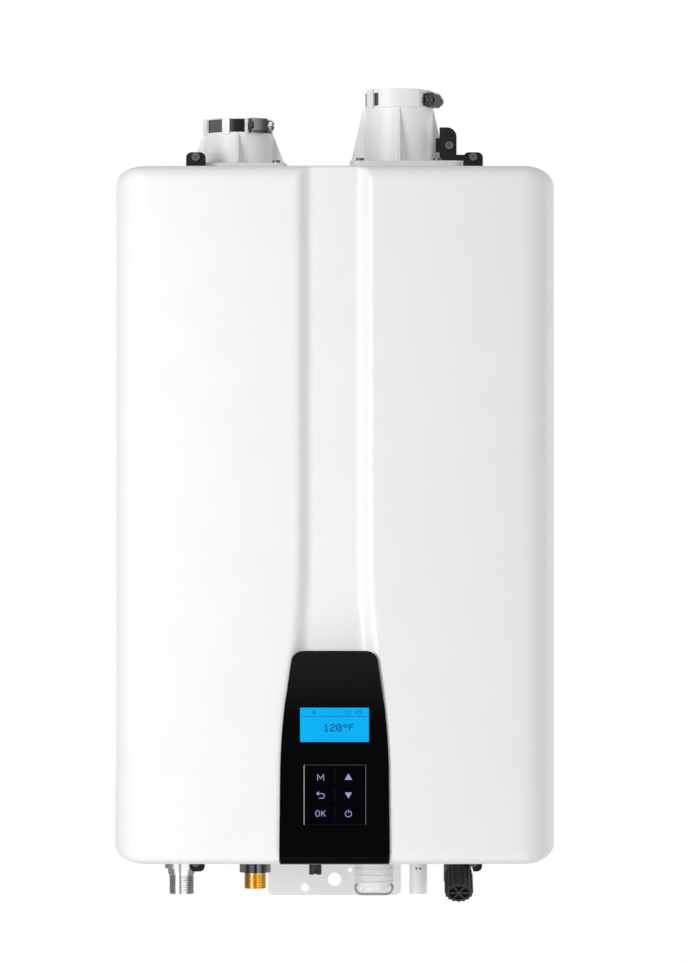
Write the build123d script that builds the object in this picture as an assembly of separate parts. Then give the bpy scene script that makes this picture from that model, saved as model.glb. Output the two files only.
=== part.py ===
from build123d import *
import math
import os

# Wall hung tankless water heater with a lift-off front cover, in millimetres.
# +X is right seen from the front, +Y goes into the wall, +Z is up.
# The origin is the middle of the upper wall bracket's row of screw holes, on the wall plane.

os.makedirs("parts", exist_ok=True)

# Overall casing
CASE_W = 440.0
CASE_H = 696.0
CASE_D = 336.0
CASE_TOP_Z = -14.0
CASE_BOTTOM_Z = CASE_TOP_Z - CASE_H
CASE_MID_Z = (CASE_TOP_Z + CASE_BOTTOM_Z) / 2

# General clearances
CUT = 5.0
GAP = 0.3
FIT = 0.05
SCREW_R = 2.4
SCREW_HOLE_R = 2.8
HEAD_R = 4.2
HEAD_T = 3.2
SOCKET_R = 1.5
SOCKET_DEPTH = 1.6


def box(x0, x1, y0, y1, z0, z1):
    """Block between two corners."""
    middle = Pos((x0 + x1) / 2, (y0 + y1) / 2, (z0 + z1) / 2)
    return middle * Box(abs(x1 - x0), abs(y1 - y0), abs(z1 - z0))


def rod(start, end, radius):
    """Round bar from one point to another."""
    start_point = Vector(*start)
    run = Vector(*end) - start_point
    plane = Plane(origin=start_point, z_dir=run)
    return extrude(plane * Circle(radius), run.length)


def tube(start, end, radius, bore):
    """Round tube with a bore right through."""
    return rod(start, end, radius) - rod(start, end, bore)


def bent_pipe(points, radius, wall, bend):
    """Pipe along straight runs joined by arcs, as one hollow solid."""
    path = FilletPolyline(*points, radius=bend)
    run = Vector(*points[1]) - Vector(*points[0])
    plane = Plane(origin=Vector(*points[0]), z_dir=run)
    return sweep(plane * (Circle(radius) - Circle(radius - wall)), path=path)


def face_prism(width, height, radius, y_front, y_rear):
    """Rounded rectangle seen from the front, given depth between two y values."""
    outline = Plane.XZ * RectangleRounded(width, height, radius)
    return Pos(0, y_rear, CASE_MID_Z) * extrude(outline, y_rear - y_front)


def screw_along_y(x, z, y_head, length):
    """Pan head screw that points into the wall, with a round socket in its head."""
    head = rod((x, y_head - HEAD_T, z), (x, y_head, z), HEAD_R)
    shank = rod((x, y_head, z), (x, y_head + length, z), SCREW_R)
    socket = rod((x, y_head - HEAD_T, z), (x, y_head - HEAD_T + SOCKET_DEPTH, z), SOCKET_R)
    return head + shank - socket


def screw_along_z(x, y, z_seat, length):
    """Pan head screw that points down."""
    head = rod((x, y, z_seat), (x, y, z_seat + HEAD_T), HEAD_R)
    shank = rod((x, y, z_seat - length), (x, y, z_seat), SCREW_R)
    socket = rod((x, y, z_seat + HEAD_T - SOCKET_DEPTH), (x, y, z_seat + HEAD_T), SOCKET_R)
    return head + shank - socket


def save(name, shape):
    """Write one sub-part under its node's name."""
    export_step(shape, "parts/" + name + ".step")


# Front cover sizes
COVER_SHEET = 1.2
BEZEL_PROUD = 2.5
COVER_FRONT_Y = -(CASE_D - BEZEL_PROUD)
COVER_DEPTH = 124.0
COVER_REAR_Y = COVER_FRONT_Y + COVER_DEPTH
COVER_CORNER_R = 35.0
COVER_EDGE_R = 14.0
COVER_FACE_R = 16.0
COVER_CROWN = 4.0
CHANNEL_HALF_W = 36.0
CHANNEL_WALL_W = 11.0
CHANNEL_DEPTH = 9.0
CHANNEL_FLARE = 7.5
CHANNEL_FLARE_RISE = 313.0
CHANNEL_FLARE_Z = CASE_BOTTOM_Z + CHANNEL_FLARE_RISE
BEZEL_GAP = 0.8
SEAL_W = 11.0
SEAL_T = 5.0

# Control panel outline
BEZEL_TOP_RISE = 212.0
BEZEL_MID_RISE = 158.0
BEZEL_LOW_RISE = 102.0
BEZEL_TOP_Z = CASE_BOTTOM_Z + BEZEL_TOP_RISE
BEZEL_MID_Z = CASE_BOTTOM_Z + BEZEL_MID_RISE
BEZEL_LOW_Z = CASE_BOTTOM_Z + BEZEL_LOW_RISE
BEZEL_TOP_HALF_W = 41.5
BEZEL_MID_HALF_W = 49.0
BEZEL_LOW_HALF_W = 53.2
BEZEL_BASE_HALF_W = 54.3
BEZEL_CORNER_R = 10.0
CHANNEL_END_Z = BEZEL_TOP_Z - BEZEL_CORNER_R / 2

# Rear case sizes
SHEET = 1.2
LAP_GAP = 0.6
LAP = 12.0
WALL_GAP = 8.0
LIP_W = 12.0
CASE_REAR_Y = -WALL_GAP
CASE_FRONT_Y = COVER_REAR_Y - LAP
CASE_INSET = COVER_SHEET + LAP_GAP
CASE_OUT_TOP_Z = CASE_TOP_Z - CASE_INSET
CASE_OUT_BOTTOM_Z = CASE_BOTTOM_Z + CASE_INSET
CASE_IN_HALF_W = CASE_W / 2 - CASE_INSET - SHEET
CASE_IN_BOTTOM_Z = CASE_OUT_BOTTOM_Z + SHEET
CASE_IN_TOP_Z = CASE_OUT_TOP_Z - SHEET

# Wall bracket sizes
BRACKET_SHEET = 2.0
BRACKET_W = 320.0
BRACKET_TOP_Z = 12.0
BRACKET_BOTTOM_Z = -66.0
BRACKET_HOLE_R = 4.5
BRACKET_HOLE_SPAN = 270.0
HOOK_X = 90.0
HOOK_W = 36.0
HOOK_REACH = 12.5
HOOK_Z = -52.0
HOOK_H = 16.0
SLOT_CLEAR = 2.0

# Lower bracket sizes
LOWER_W = 143.0
LOWER_DROP = 60.5
LOWER_TOP = 60.0
LOWER_CORNER_R = 6.0
LOWER_BIG_R = 7.2
LOWER_BIG_DROP = 43.7
LOWER_HOLE_R = 4.3
LOWER_HOLE_X = 31.8
LOWER_HOLE_DROP = 52.6
LOWER_SMALL_R = 2.2
LOWER_SMALL_X = 16.7
LOWER_SMALL_DROP = 33.6
LOWER_STEP_RISE = 8.0
LOWER_STEP_Z = CASE_BOTTOM_Z + LOWER_STEP_RISE

# Vent collars
COLLAR_BACK = 65.5
COLLAR_Y = COVER_REAR_Y + COLLAR_BACK
EXHAUST_X = 66.2
INTAKE_X = -100.0
EXHAUST_H = 91.8
INTAKE_H = 61.5
EXHAUST_BASE_H = 16.2
INTAKE_BASE_H = 14.0
EXHAUST_RIM_H = 3.6
INTAKE_RIM_H = 1.0
COLLAR_R = 36.2
COLLAR_NECK_R = 34.9
SOCKET_BORE_R = 30.35
SOCKET_LENGTH = 42.0
COLLAR_BORE_R = 27.5
COLLAR_BASE_HALF = 51.0
COLLAR_BASE_RIGHT = 70.0
COLLAR_BASE_R = 12.0
COLLAR_BASE_WALL = 3.0
COLLAR_TAIL = 20.0
COLLAR_TAIL_R = 31.0
COLLAR_HOLE_CLEAR = 1.0
FIN_T = 3.0
FIN_FOOT_R = 50.4
BAND_H = 13.4
BAND_T = 0.8
BRIDGE_T = 2.2
COLLAR_SCREW_OFFSET = 40.0
COLLAR_SCREW_LENGTH = 9.0
GASKET_T = 2.0
WORM_BOX_W = 17.0
WORM_BOX_H = 15.0
WORM_BOX_T = 9.0
WORM_R = 3.4
WORM_HEAD_R = 4.9
WORM_HEAD_T = 6.0
WORM_TIP = 2.0
EXHAUST_WORM_TURN = 66.0
INTAKE_WORM_TURN = 33.0
EXHAUST_BRIDGE_TURNS = ((0.0, 66.0), (-51.3, 15.5), (150.0, 40.0), (-120.0, 20.0))
INTAKE_BRIDGE_TURNS = ((-18.5, 12.0), (14.0, 4.4), (-64.0, 13.0), (150.0, 40.0), (-130.0, 20.0))

# Top and bottom lugs
LUG_X = 142.0
LUG_W = 20.0
LUG_H = 23.5
LUG_T = 2.0
LUG_R = 5.5
LUG_SCREW_H = 18.5
LUG_FOOT_W = 29.0
LUG_FOOT_D = 18.0
LUG_FOOT_T = 1.5
CASE_LUG_FOOT_D = 8.0
LUG_SET_BACK = 1.5
LUG_Y = COVER_REAR_Y + LUG_SET_BACK
LUG_BACK_GAP = 0.3
LOWER_LUG_RIGHT = 9.2
LOWER_LUG_LEFT = 6.5
LOWER_LUG_H = 17.2
LOWER_LUG_SCREW_DROP = 8.0
LUG_SCREW_LENGTH = 8.0
RIVET_R = 1.8
RIVET_H = 0.9

# Lock plate beside the exhaust collar
LOCK_OFFSET = 42.5
LOCK_W = 17.7
LOCK_X0 = EXHAUST_X + LOCK_OFFSET
LOCK_X1 = LOCK_X0 + LOCK_W
LOCK_TOP = 53.2
LOCK_R = 10.0
LOCK_T = 2.0
LOCK_FORWARD = 20.0
LOCK_Y = COLLAR_Y - LOCK_FORWARD
LOCK_TAB_W = 4.0
LOCK_TAB_LOW = 27.4
LOCK_TAB_HIGH = 42.0
LOCK_ARM_LOW = 18.6
LOCK_ARM_HIGH = 24.9
LOCK_ARM_L = 7.6
LOCK_SCREW_IN = 10.1
LOCK_ARM_END = LOCK_X1 + LOCK_ARM_L
LOCK_SCREW_X = LOCK_X0 + LOCK_SCREW_IN
LOCK_SCREW_H = 34.3
LOCK_FOOT_D = 16.0

# Panel parts
PANEL_WALL = 2.4
RAIL_PROUD = 3.5
RAIL_Y = CASE_FRONT_Y - RAIL_PROUD
PANEL_BACK_GAP = 5.0
PANEL_REAR_Y = RAIL_Y - PANEL_BACK_GAP
PANEL_FRONT_Y = -CASE_D
DISPLAY_W = 68.2
DISPLAY_H = 34.0
DISPLAY_RISE = 139.7
DISPLAY_Z = CASE_BOTTOM_Z + DISPLAY_RISE
LENS_T = 2.0
LENS_SET_BACK = 0.3
KEYPAD_W = 62.6
KEYPAD_H = 60.4
KEYPAD_RISE = 69.8
KEYPAD_Z = CASE_BOTTOM_Z + KEYPAD_RISE
KEYPAD_T = 2.6
KEYPAD_SET_BACK = 0.3
KEY_STEP_X = 27.6
KEY_STEP_Z = 18.1
KEY_W = 25.6
KEY_H = 16.2
KEY_T = 2.2
KEY_R = 1.5
KEY_STEM_R = 2.5
KEY_TRAVEL = 0.6
SWITCH_R = 2.4
SWITCH_H = 1.0
BOARD_T = 1.6
BOARD_SET_BACK = 7.0
BOARD_HALF_W = 40.0
BOARD_OVER = 24.0
BOARD_UNDER = 36.0
BOARD_Y = PANEL_FRONT_Y + BOARD_SET_BACK
BOARD_TOP_Z = DISPLAY_Z + BOARD_OVER
BOARD_BOTTOM_Z = KEYPAD_Z - BOARD_UNDER
BOARD_BOSS_R = 2.6
BOARD_BOSS_INSET = 5.0
MODULE_MARGIN = 3.0
TOWER_R = 4.0
TOWER_X = 28.0
TOWER_DROP = 9.0
TOWER_Z = BEZEL_TOP_Z - TOWER_DROP

# Cross rail
RAIL_RISE = 208.0
RAIL_H = 24.0
RAIL_TOP_Z = CASE_BOTTOM_Z + RAIL_RISE
RAIL_BOTTOM_Z = RAIL_TOP_Z - RAIL_H
RAIL_T = 2.0
RAIL_FOOT = 12.0
RAIL_CLEAR = 1.0

# Heat exchangers and burner
EX_W = 195.0
EX_SIDE_GAP = 55.0
EX_DROP = 96.0
EX_UNDER_MID = 23.0
EX_FACE_GAP = 33.5
PRIMARY_D = 106.0
EX_GAP = 4.0
SECONDARY_GAP = 52.0
EX_RIGHT_X = CASE_W / 2 - EX_SIDE_GAP
EX_LEFT_X = EX_RIGHT_X - EX_W
EX_TOP_Z = CASE_TOP_Z - EX_DROP
EX_BOTTOM_Z = CASE_MID_Z - EX_UNDER_MID
PRIMARY_FRONT_Y = COVER_FRONT_Y + EX_FACE_GAP
PRIMARY_BACK_Y = PRIMARY_FRONT_Y + PRIMARY_D
SECONDARY_FRONT_Y = PRIMARY_BACK_Y + EX_GAP
SECONDARY_BACK_Y = CASE_REAR_Y - SECONDARY_GAP
BURNER_H = 40.0
PORT_COUNT = 12
IGNITER_OFFSET = 50.0
IGNITER_W = 30.0
IGNITER_H = 22.0
IGNITER_T = 3.0
ELECTRODE_R = 3.5
ELECTRODE_L = 14.0
EX_SHEET = 1.5
RIB_COUNT = 6
RIB_W = 8.0
RIB_T = 3.0
COIL_COUNT = 5
COIL_R = 8.0
TRAY_H = 16.0
TRAY_RIM = 4.0
DRAIN_R = 8.0
DRAIN_WALL = 2.0
FLUE_R = 30.0
FLUE_WALL = 2.0
HANGER_W = 20.0

# Fan
FAN_REACH = 90.0
FAN_UNDER = 58.0
FAN_SET_BACK = 32.0
FAN_D = 46.0
FAN_R = 56.0
FAN_X = EX_LEFT_X - FAN_REACH
FAN_Z = EX_TOP_Z - FAN_UNDER
FAN_Y1 = PRIMARY_FRONT_Y + FAN_SET_BACK
FAN_Y0 = FAN_Y1 + FAN_D
FAN_WALL = 2.5
WHEEL_R = 44.0
WHEEL_HUB_R = 10.0
WHEEL_GAP = 3.0
WHEEL_DISC_T = 2.0
BLADE_COUNT = 24
BLADE_T = 1.5
BLADE_LENGTH = 12.0
BLADE_LEAN = 35.0
FAN_INLET_R = 30.0
FAN_SHAFT_R = 3.0
MOTOR_R = 34.0
MOTOR_D = 34.0
FAN_OUT_H = 34.0
FAN_FLANGE = 6.0
FAN_FLANGE_T = 3.0

# Venturi and damper
VENTURI_R = 38.0
VENTURI_BORE_R = 30.0
VENTURI_L = 102.0
VENTURI_END_Y = FAN_Y0 + VENTURI_L
VENTURI_FLANGE_R = 46.0
DAMPER_BACK = 57.0
DAMPER_Y = FAN_Y0 + DAMPER_BACK
DAMPER_GAP = 0.6
DAMPER_T = 1.6
DAMPER_SHAFT_R = 2.5
DAMPER_MOTOR_W = 22.0
DAMPER_MOTOR_H = 34.0
DAMPER_SHAFT_PLAY = 0.5

# Gas train
HOT_PLACE_SHARE = -0.35864
HOT_X = CASE_W * HOT_PLACE_SHARE
GAS_PLACE_SHARE = -0.18591
GAS_X = CASE_W * GAS_PLACE_SHARE
FITTING_BACK = 28.0
FITTING_Y = LUG_Y + FITTING_BACK
GAS_R = 11.5
GAS_DROP = 36.6
GAS_BORE_R = 8.0
GAS_BODY_R = 12.5
RELIEF_L = 1.0
RELIEF_DEPTH = 0.6
GAS_NUT_R = 16.0
GAS_NUT_DROP = 20.3
GAS_PIPE_R = 8.0
GAS_PIPE_WALL = 1.2
GAS_VALVE_W = 62.0
GAS_VALVE_D = 58.0
GAS_VALVE_H = 100.0
GAS_VALVE_PLACE_SHARE = 0.3017
GAS_VALVE_BOTTOM_Z = CASE_BOTTOM_Z + CASE_H * GAS_VALVE_PLACE_SHARE
GAS_VALVE_TOP_Z = GAS_VALVE_BOTTOM_Z + GAS_VALVE_H
SOLENOID_R = 14.0
SOLENOID_H = 26.0
FITTING_RISE = 60.0
GAS_FITTING_TOP_Z = CASE_BOTTOM_Z + FITTING_RISE
COIL_PLACE_SHARES = (0.3, 0.7)

# Hot outlet
HOT_R = 13.1
HOT_BORE_R = 9.5
HOT_DROP = 42.0
HOT_HEX_R = 16.8
HOT_HEX_DROP = 16.0
HOT_TAPER_DROP = 23.0
HOT_TOP_Z = CASE_BOTTOM_Z + FITTING_RISE
WATER_PIPE_R = 9.5
WATER_PIPE_WALL = 1.0
PIPE_BEND = 22.0
HOT_EXIT_UP = 25.0
HOT_EXIT_BACK = 50.0
HOT_BACK_RISE = 260.0
HOT_EXIT_Z = EX_BOTTOM_Z + HOT_EXIT_UP
HOT_EXIT_Y = PRIMARY_FRONT_Y + HOT_EXIT_BACK
HOT_BACK_Z = CASE_BOTTOM_Z + HOT_BACK_RISE

# Cold inlet with its filter
COLD_PLACE_SHARE = 0.28864
COLD_X = CASE_W * COLD_PLACE_SHARE
COLD_BACK = 50.0
COLD_Y = FITTING_Y + COLD_BACK
COLD_R = 13.1
COLD_BORE_R = 9.0
COLD_DROP = 34.0
COLD_THREAD_L = 32.0
COLD_NECK_R = 14.0
INLET_BODY_R = 18.0
INLET_RISE = 110.0
INLET_TOP_Z = CASE_BOTTOM_Z + INLET_RISE
BRANCH_R = 13.4
BRANCH_BORE_R = 10.2
CAP_REACH = 75.0
CAP_DROP = 20.0
CAP_START_Y = COLD_Y - CAP_REACH
CAP_START_Z = CASE_BOTTOM_Z - CAP_DROP
CAP_R = 14.6
CAP_RIB_R = 1.2
CAP_RIB_COUNT = 16
CAP_LENGTH = 25.0
CAP_RECESS_R = 10.5
CAP_RECESS_DEPTH = 3.0
CAP_WEB_T = 2.0
CAP_BORE_R = 4.0
STRAINER_R = 9.2
STRAINER_LENGTH = 52.0
STRAINER_BORE_R = 7.6
STRAINER_RING_H = 3.0
STRAINER_BAR_COUNT = 8
STRAINER_BAR_T = 1.6
STRAINER_STEM = 18.0
SLANT_SHARE = math.sqrt(0.5)

# Flow sensor and water valve
SENSOR_R = 15.0
SENSOR_H = 44.0
SENSOR_TOP_Z = INLET_TOP_Z + SENSOR_H
TURBINE_R = 10.0
TURBINE_H = 12.0
TURBINE_GAP = 1.0
TURBINE_HUB_R = 3.0
TURBINE_SHAFT_R = 1.0
TURBINE_BLADES = 6
TURBINE_BLADE_T = 1.2
SPIDER_T = 3.0
VALVE_H = 56.0
VALVE_TOP_Z = SENSOR_TOP_Z + VALVE_H
VALVE_R = 17.0
VALVE_MOTOR_R = 15.0
VALVE_MOTOR_L = 32.0
COLD_PIPE_REACH = 27.0
COLD_PIPE_UP = 44.0
COLD_PORT_UP = 40.0

# Condensate parts
TRAP_PLACE_SHARE = 0.09227
TRAP_X = CASE_W * TRAP_PLACE_SHARE
TRAP_R = 19.8
TRAP_RISE = 150.0
TRAP_TOP_Z = CASE_BOTTOM_Z + TRAP_RISE
TRAP_MAIN_DROP = 30.5
TRAP_RIM_R = 17.0
TRAP_RIM_DROP = 35.0
TRAP_END_R = 12.6
TRAP_END_DROP = 39.0
TRAP_RING_COUNT = 3
TRAP_RING_R = 20.2
TRAP_RING_H = 2.0
TRAP_RING_STEP = 6.5
TRAP_WALL = 2.2
BAIL_WIRE_R = 1.2
BAIL_HALF_W = 19.1
BAIL_DROP = 43.0
BAIL_PIVOT_DROP = 32.8
BAIL_CORNER_R = 7.0
BAIL_PIN_END = 15.0
DRAIN_PLACE_SHARE = 0.19591
DRAIN_TUBE_X = CASE_W * DRAIN_PLACE_SHARE
DRAIN_TUBE_R = 9.0
DRAIN_BEND_R = 8.2
DRAIN_TAIL_GAP = 2.0
DRAIN_TUBE_WALL = 1.6
DRAIN_TUBE_DROP = 42.0
DRAIN_TUBE_RISE = 110.0
DRAIN_TUBE_Z = CASE_BOTTOM_Z + DRAIN_TUBE_RISE
DRAIN_VENT_R = 0.9
DRAIN_VENT_DROP = 4.0
DRAIN_VENT_X = 2.2

# Gland
GLAND_PLACE_SHARE = -0.045
GLAND_X = CASE_W * GLAND_PLACE_SHARE
GLAND_R = 6.5
GLAND_BORE_R = 3.5
GLAND_DROP = 22.5
GLAND_FLANGE_R = 10.0
GLAND_FLANGE_T = 2.5
GLAND_NOTCH_W = 3.0
GLAND_NOTCH_H = 4.0

# Control box
BOX_W = 130.0
BOX_SIDE_GAP = 20.0
BOX_RISE = 20.0
BOX_FACE_GAP = 37.5
BOX_X1 = CASE_W / 2 - BOX_SIDE_GAP
BOX_X0 = BOX_X1 - BOX_W
BOX_TOP_Z = RAIL_TOP_Z
BOX_BOTTOM_Z = CASE_BOTTOM_Z + BOX_RISE
BOX_FRONT_Y = COVER_FRONT_Y + BOX_FACE_GAP
BOX_WALL = 1.5
BOX_BOARD_T = 1.6
BOX_BOARD_INSET = 6.0
BOX_BOSS_R = 3.0
BOX_BOSS_H = 8.0
BOX_BOSS_INSET = 10.0
CHIP_SIZES = ((24.0, 18.0, 14.0), (16.0, 30.0, 10.0), (30.0, 12.0, 20.0), (12.0, 12.0, 8.0))
CHIP_SHARES = ((0.25, 0.75), (0.7, 0.7), (0.3, 0.3), (0.72, 0.3))

# Air filter
FILTER_HALF_W = 36.0
FILTER_TOP_GAP = 2.0
FILTER_CELLS = 7
FILTER_WALL = 2.5

# Wiring harness
WIRE_R = 3.5
WIRE_BEND = 12.0
WIRE_OVER_PANEL = 32.0


# Front cover: a drawn sheet pan with a crowned front, a recessed channel and the panel's notch
def cover_block(inset, rear_y):
    """Outer form of the cover, or its inner form when inset by the sheet."""
    half_w = CASE_W / 2 - inset
    half_h = CASE_H / 2 - inset
    front = COVER_FRONT_Y + inset
    corner_r = COVER_CORNER_R - inset
    edge_r = COVER_EDGE_R - inset
    shoulder = front + COVER_CROWN
    diagonal = corner_r * (1 - SLANT_SHARE)
    left_arc = ThreePointArc(
        (-half_w, shoulder + corner_r),
        (-half_w + diagonal, shoulder + diagonal),
        (-half_w + corner_r, shoulder),
    )
    crown_arc = ThreePointArc((-half_w + corner_r, shoulder), (0, front), (half_w - corner_r, shoulder))
    right_arc = ThreePointArc(
        (half_w - corner_r, shoulder),
        (half_w - diagonal, shoulder + diagonal),
        (half_w, shoulder + corner_r),
    )
    back = Polyline(
        (half_w, shoulder + corner_r),
        (half_w, rear_y),
        (-half_w, rear_y),
        (-half_w, shoulder + corner_r),
    )
    plan = extrude(make_face(left_arc + crown_arc + right_arc + back), 2 * half_h)
    plan = Pos(0, 0, CASE_MID_Z - half_h) * plan
    bevel = edge_r * (1 - SLANT_SHARE)
    top_arc = ThreePointArc(
        (front + edge_r, half_h), (front + bevel, half_h - bevel), (front, half_h - edge_r)
    )
    front_line = Line((front, half_h - edge_r), (front, -half_h + edge_r))
    low_arc = ThreePointArc(
        (front, -half_h + edge_r), (front + bevel, -half_h + bevel), (front + edge_r, -half_h)
    )
    rear_line = Polyline(
        (front + edge_r, -half_h), (rear_y, -half_h), (rear_y, half_h), (front + edge_r, half_h)
    )
    side = extrude(Plane.YZ * make_face(top_arc + front_line + low_arc + rear_line), 2 * half_w)
    side = Pos(-half_w, 0, CASE_MID_Z) * side
    face = face_prism(2 * half_w, 2 * half_h, COVER_FACE_R - inset, front - CUT, rear_y)
    return plan & side & face


def channel_outline(y, grow):
    """Outline of the recess at depth y, its walls sloping in towards the floor."""
    half = CHANNEL_HALF_W + grow - (y - COVER_FRONT_Y) * CHANNEL_WALL_W / CHANNEL_DEPTH
    top_z = CASE_TOP_Z + CUT
    drop = CHANNEL_FLARE_Z - CHANNEL_END_Z
    bend_r = (drop ** 2 + CHANNEL_FLARE ** 2) / (2 * CHANNEL_FLARE)
    mid_drop = drop / 2
    mid_flare = bend_r - math.sqrt(bend_r ** 2 - mid_drop ** 2)
    right = Line((half, top_z), (half, CHANNEL_FLARE_Z))
    right_flare = ThreePointArc(
        (half, CHANNEL_FLARE_Z),
        (half + mid_flare, CHANNEL_FLARE_Z - mid_drop),
        (half + CHANNEL_FLARE, CHANNEL_END_Z),
    )
    low = Line((half + CHANNEL_FLARE, CHANNEL_END_Z), (-half - CHANNEL_FLARE, CHANNEL_END_Z))
    left_flare = ThreePointArc(
        (-half - CHANNEL_FLARE, CHANNEL_END_Z),
        (-half - mid_flare, CHANNEL_FLARE_Z - mid_drop),
        (-half, CHANNEL_FLARE_Z),
    )
    left = Line((-half, CHANNEL_FLARE_Z), (-half, top_z))
    top = Line((-half, top_z), (half, top_z))
    outline = make_face(right + right_flare + low + left_flare + left + top)
    return Plane.XZ.offset(-y) * outline


def channel_cut(grow):
    """Solid that presses the channel into the cover."""
    mouth = channel_outline(COVER_FRONT_Y - CUT, grow)
    floor = channel_outline(COVER_FRONT_Y + CHANNEL_DEPTH + grow, grow)
    return loft([mouth, floor], ruled=True)


def panel_outline(grow, low_z):
    """Front outline of the control panel, wider below, with round top corners."""
    top_z = BEZEL_TOP_Z + grow
    right_arc = ThreePointArc(
        (BEZEL_TOP_HALF_W + grow, top_z),
        (BEZEL_MID_HALF_W + grow, BEZEL_MID_Z),
        (BEZEL_LOW_HALF_W + grow, BEZEL_LOW_Z),
    )
    base = Polyline(
        (BEZEL_LOW_HALF_W + grow, BEZEL_LOW_Z),
        (BEZEL_BASE_HALF_W + grow, low_z),
        (-BEZEL_BASE_HALF_W - grow, low_z),
        (-BEZEL_LOW_HALF_W - grow, BEZEL_LOW_Z),
    )
    left_arc = ThreePointArc(
        (-BEZEL_LOW_HALF_W - grow, BEZEL_LOW_Z),
        (-BEZEL_MID_HALF_W - grow, BEZEL_MID_Z),
        (-BEZEL_TOP_HALF_W - grow, top_z),
    )
    top = Line((-BEZEL_TOP_HALF_W - grow, top_z), (BEZEL_TOP_HALF_W + grow, top_z))
    sketch = Sketch() + make_face(right_arc + base + left_arc + top)
    return fillet(sketch.vertices().group_by(Axis.Y)[-1], BEZEL_CORNER_R + grow)


def panel_prism(grow, low_z, y_front, y_rear):
    """The panel's outline given depth."""
    return Pos(0, y_rear, 0) * extrude(Plane.XZ * panel_outline(grow, low_z), y_rear - y_front)


seal_front_y = CASE_FRONT_Y - SEAL_T - GAP
cover_outer = cover_block(0, COVER_REAR_Y) - channel_cut(0)
cover_inner = cover_block(COVER_SHEET, COVER_REAR_Y + CUT) - channel_cut(COVER_SHEET)
front_cover = cover_outer - cover_inner
frame_out_w = CASE_W - 2 * COVER_SHEET
frame_out_h = CASE_H - 2 * COVER_SHEET
frame_corner_r = COVER_FACE_R - COVER_SHEET
seal_frame = face_prism(frame_out_w, frame_out_h, frame_corner_r, seal_front_y - SHEET, seal_front_y)
seal_frame -= face_prism(
    frame_out_w - 2 * LIP_W - 2 * LAP_GAP,
    frame_out_h - 2 * LIP_W - 2 * LAP_GAP,
    frame_corner_r / 2,
    seal_front_y - SHEET - CUT,
    seal_front_y + CUT,
)
front_cover += seal_frame
front_cover -= panel_prism(BEZEL_GAP, CASE_BOTTOM_Z - CUT, COVER_FRONT_Y - CUT, COVER_REAR_Y + CUT)
save("front_cover", front_cover)


# Rear case: a deep sheet box, open at the front behind an inward lip
CASE_OUT_W = CASE_W - 2 * CASE_INSET
CASE_OUT_H = CASE_H - 2 * CASE_INSET
CASE_CORNER_R = COVER_FACE_R - CASE_INSET
rear_case = face_prism(CASE_OUT_W, CASE_OUT_H, CASE_CORNER_R, CASE_FRONT_Y, CASE_REAR_Y)
rear_case -= face_prism(
    CASE_OUT_W - 2 * SHEET,
    CASE_OUT_H - 2 * SHEET,
    CASE_CORNER_R - SHEET,
    CASE_FRONT_Y + SHEET,
    CASE_REAR_Y - SHEET,
)
rear_case -= face_prism(
    CASE_OUT_W - 2 * LIP_W,
    CASE_OUT_H - 2 * LIP_W,
    CASE_CORNER_R / 2,
    CASE_FRONT_Y - CUT,
    CASE_FRONT_Y + SHEET + CUT,
)
top_cut_low = CASE_IN_TOP_Z - CUT
top_cut_high = CASE_OUT_TOP_Z + CUT
collar_hole_r = COLLAR_TAIL_R + COLLAR_HOLE_CLEAR
for collar_x in (EXHAUST_X, INTAKE_X):
    rear_case -= rod((collar_x, COLLAR_Y, top_cut_low), (collar_x, COLLAR_Y, top_cut_high), collar_hole_r)
    for corner_x in (-COLLAR_SCREW_OFFSET, COLLAR_SCREW_OFFSET):
        for corner_y in (-COLLAR_SCREW_OFFSET, COLLAR_SCREW_OFFSET):
            hole_x = collar_x + corner_x
            hole_y = COLLAR_Y + corner_y
            rear_case -= rod((hole_x, hole_y, top_cut_low), (hole_x, hole_y, top_cut_high), SCREW_R)
bottom_holes = (
    (HOT_X, FITTING_Y, HOT_R + COLLAR_HOLE_CLEAR),
    (GAS_X, FITTING_Y, GAS_BODY_R + COLLAR_HOLE_CLEAR),
    (GLAND_X, FITTING_Y, GLAND_R + FIT),
    (TRAP_X, FITTING_Y, TRAP_RING_R + COLLAR_HOLE_CLEAR),
    (DRAIN_TUBE_X, FITTING_Y, DRAIN_TUBE_R + COLLAR_HOLE_CLEAR),
)
bottom_cut_low = CASE_OUT_BOTTOM_Z - CUT
bottom_cut_high = CASE_IN_BOTTOM_Z + CUT
for hole_x, hole_y, hole_r in bottom_holes:
    rear_case -= rod((hole_x, hole_y, bottom_cut_low), (hole_x, hole_y, bottom_cut_high), hole_r)
inlet_hole_back = COLD_Y + COLD_NECK_R + COLLAR_HOLE_CLEAR
branch_exit_y = CAP_START_Y + (CASE_OUT_BOTTOM_Z - CAP_START_Z)
inlet_hole_front = branch_exit_y - BRANCH_R / SLANT_SHARE - COLLAR_HOLE_CLEAR
inlet_hole_half_w = BRANCH_R + COLLAR_HOLE_CLEAR
rear_case -= box(
    COLD_X - inlet_hole_half_w,
    COLD_X + inlet_hole_half_w,
    inlet_hole_front,
    inlet_hole_back,
    bottom_cut_low,
    bottom_cut_high,
)
hook_top_z = HOOK_Z + BRACKET_SHEET
for hook_x in (-HOOK_X, HOOK_X):
    rear_case -= box(
        hook_x - HOOK_W / 2 - SLOT_CLEAR,
        hook_x + HOOK_W / 2 + SLOT_CLEAR,
        CASE_REAR_Y - SHEET - CUT,
        CASE_REAR_Y + CUT,
        HOOK_Z - HOOK_H,
        hook_top_z,
    )
save("rear_case", rear_case)


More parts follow.
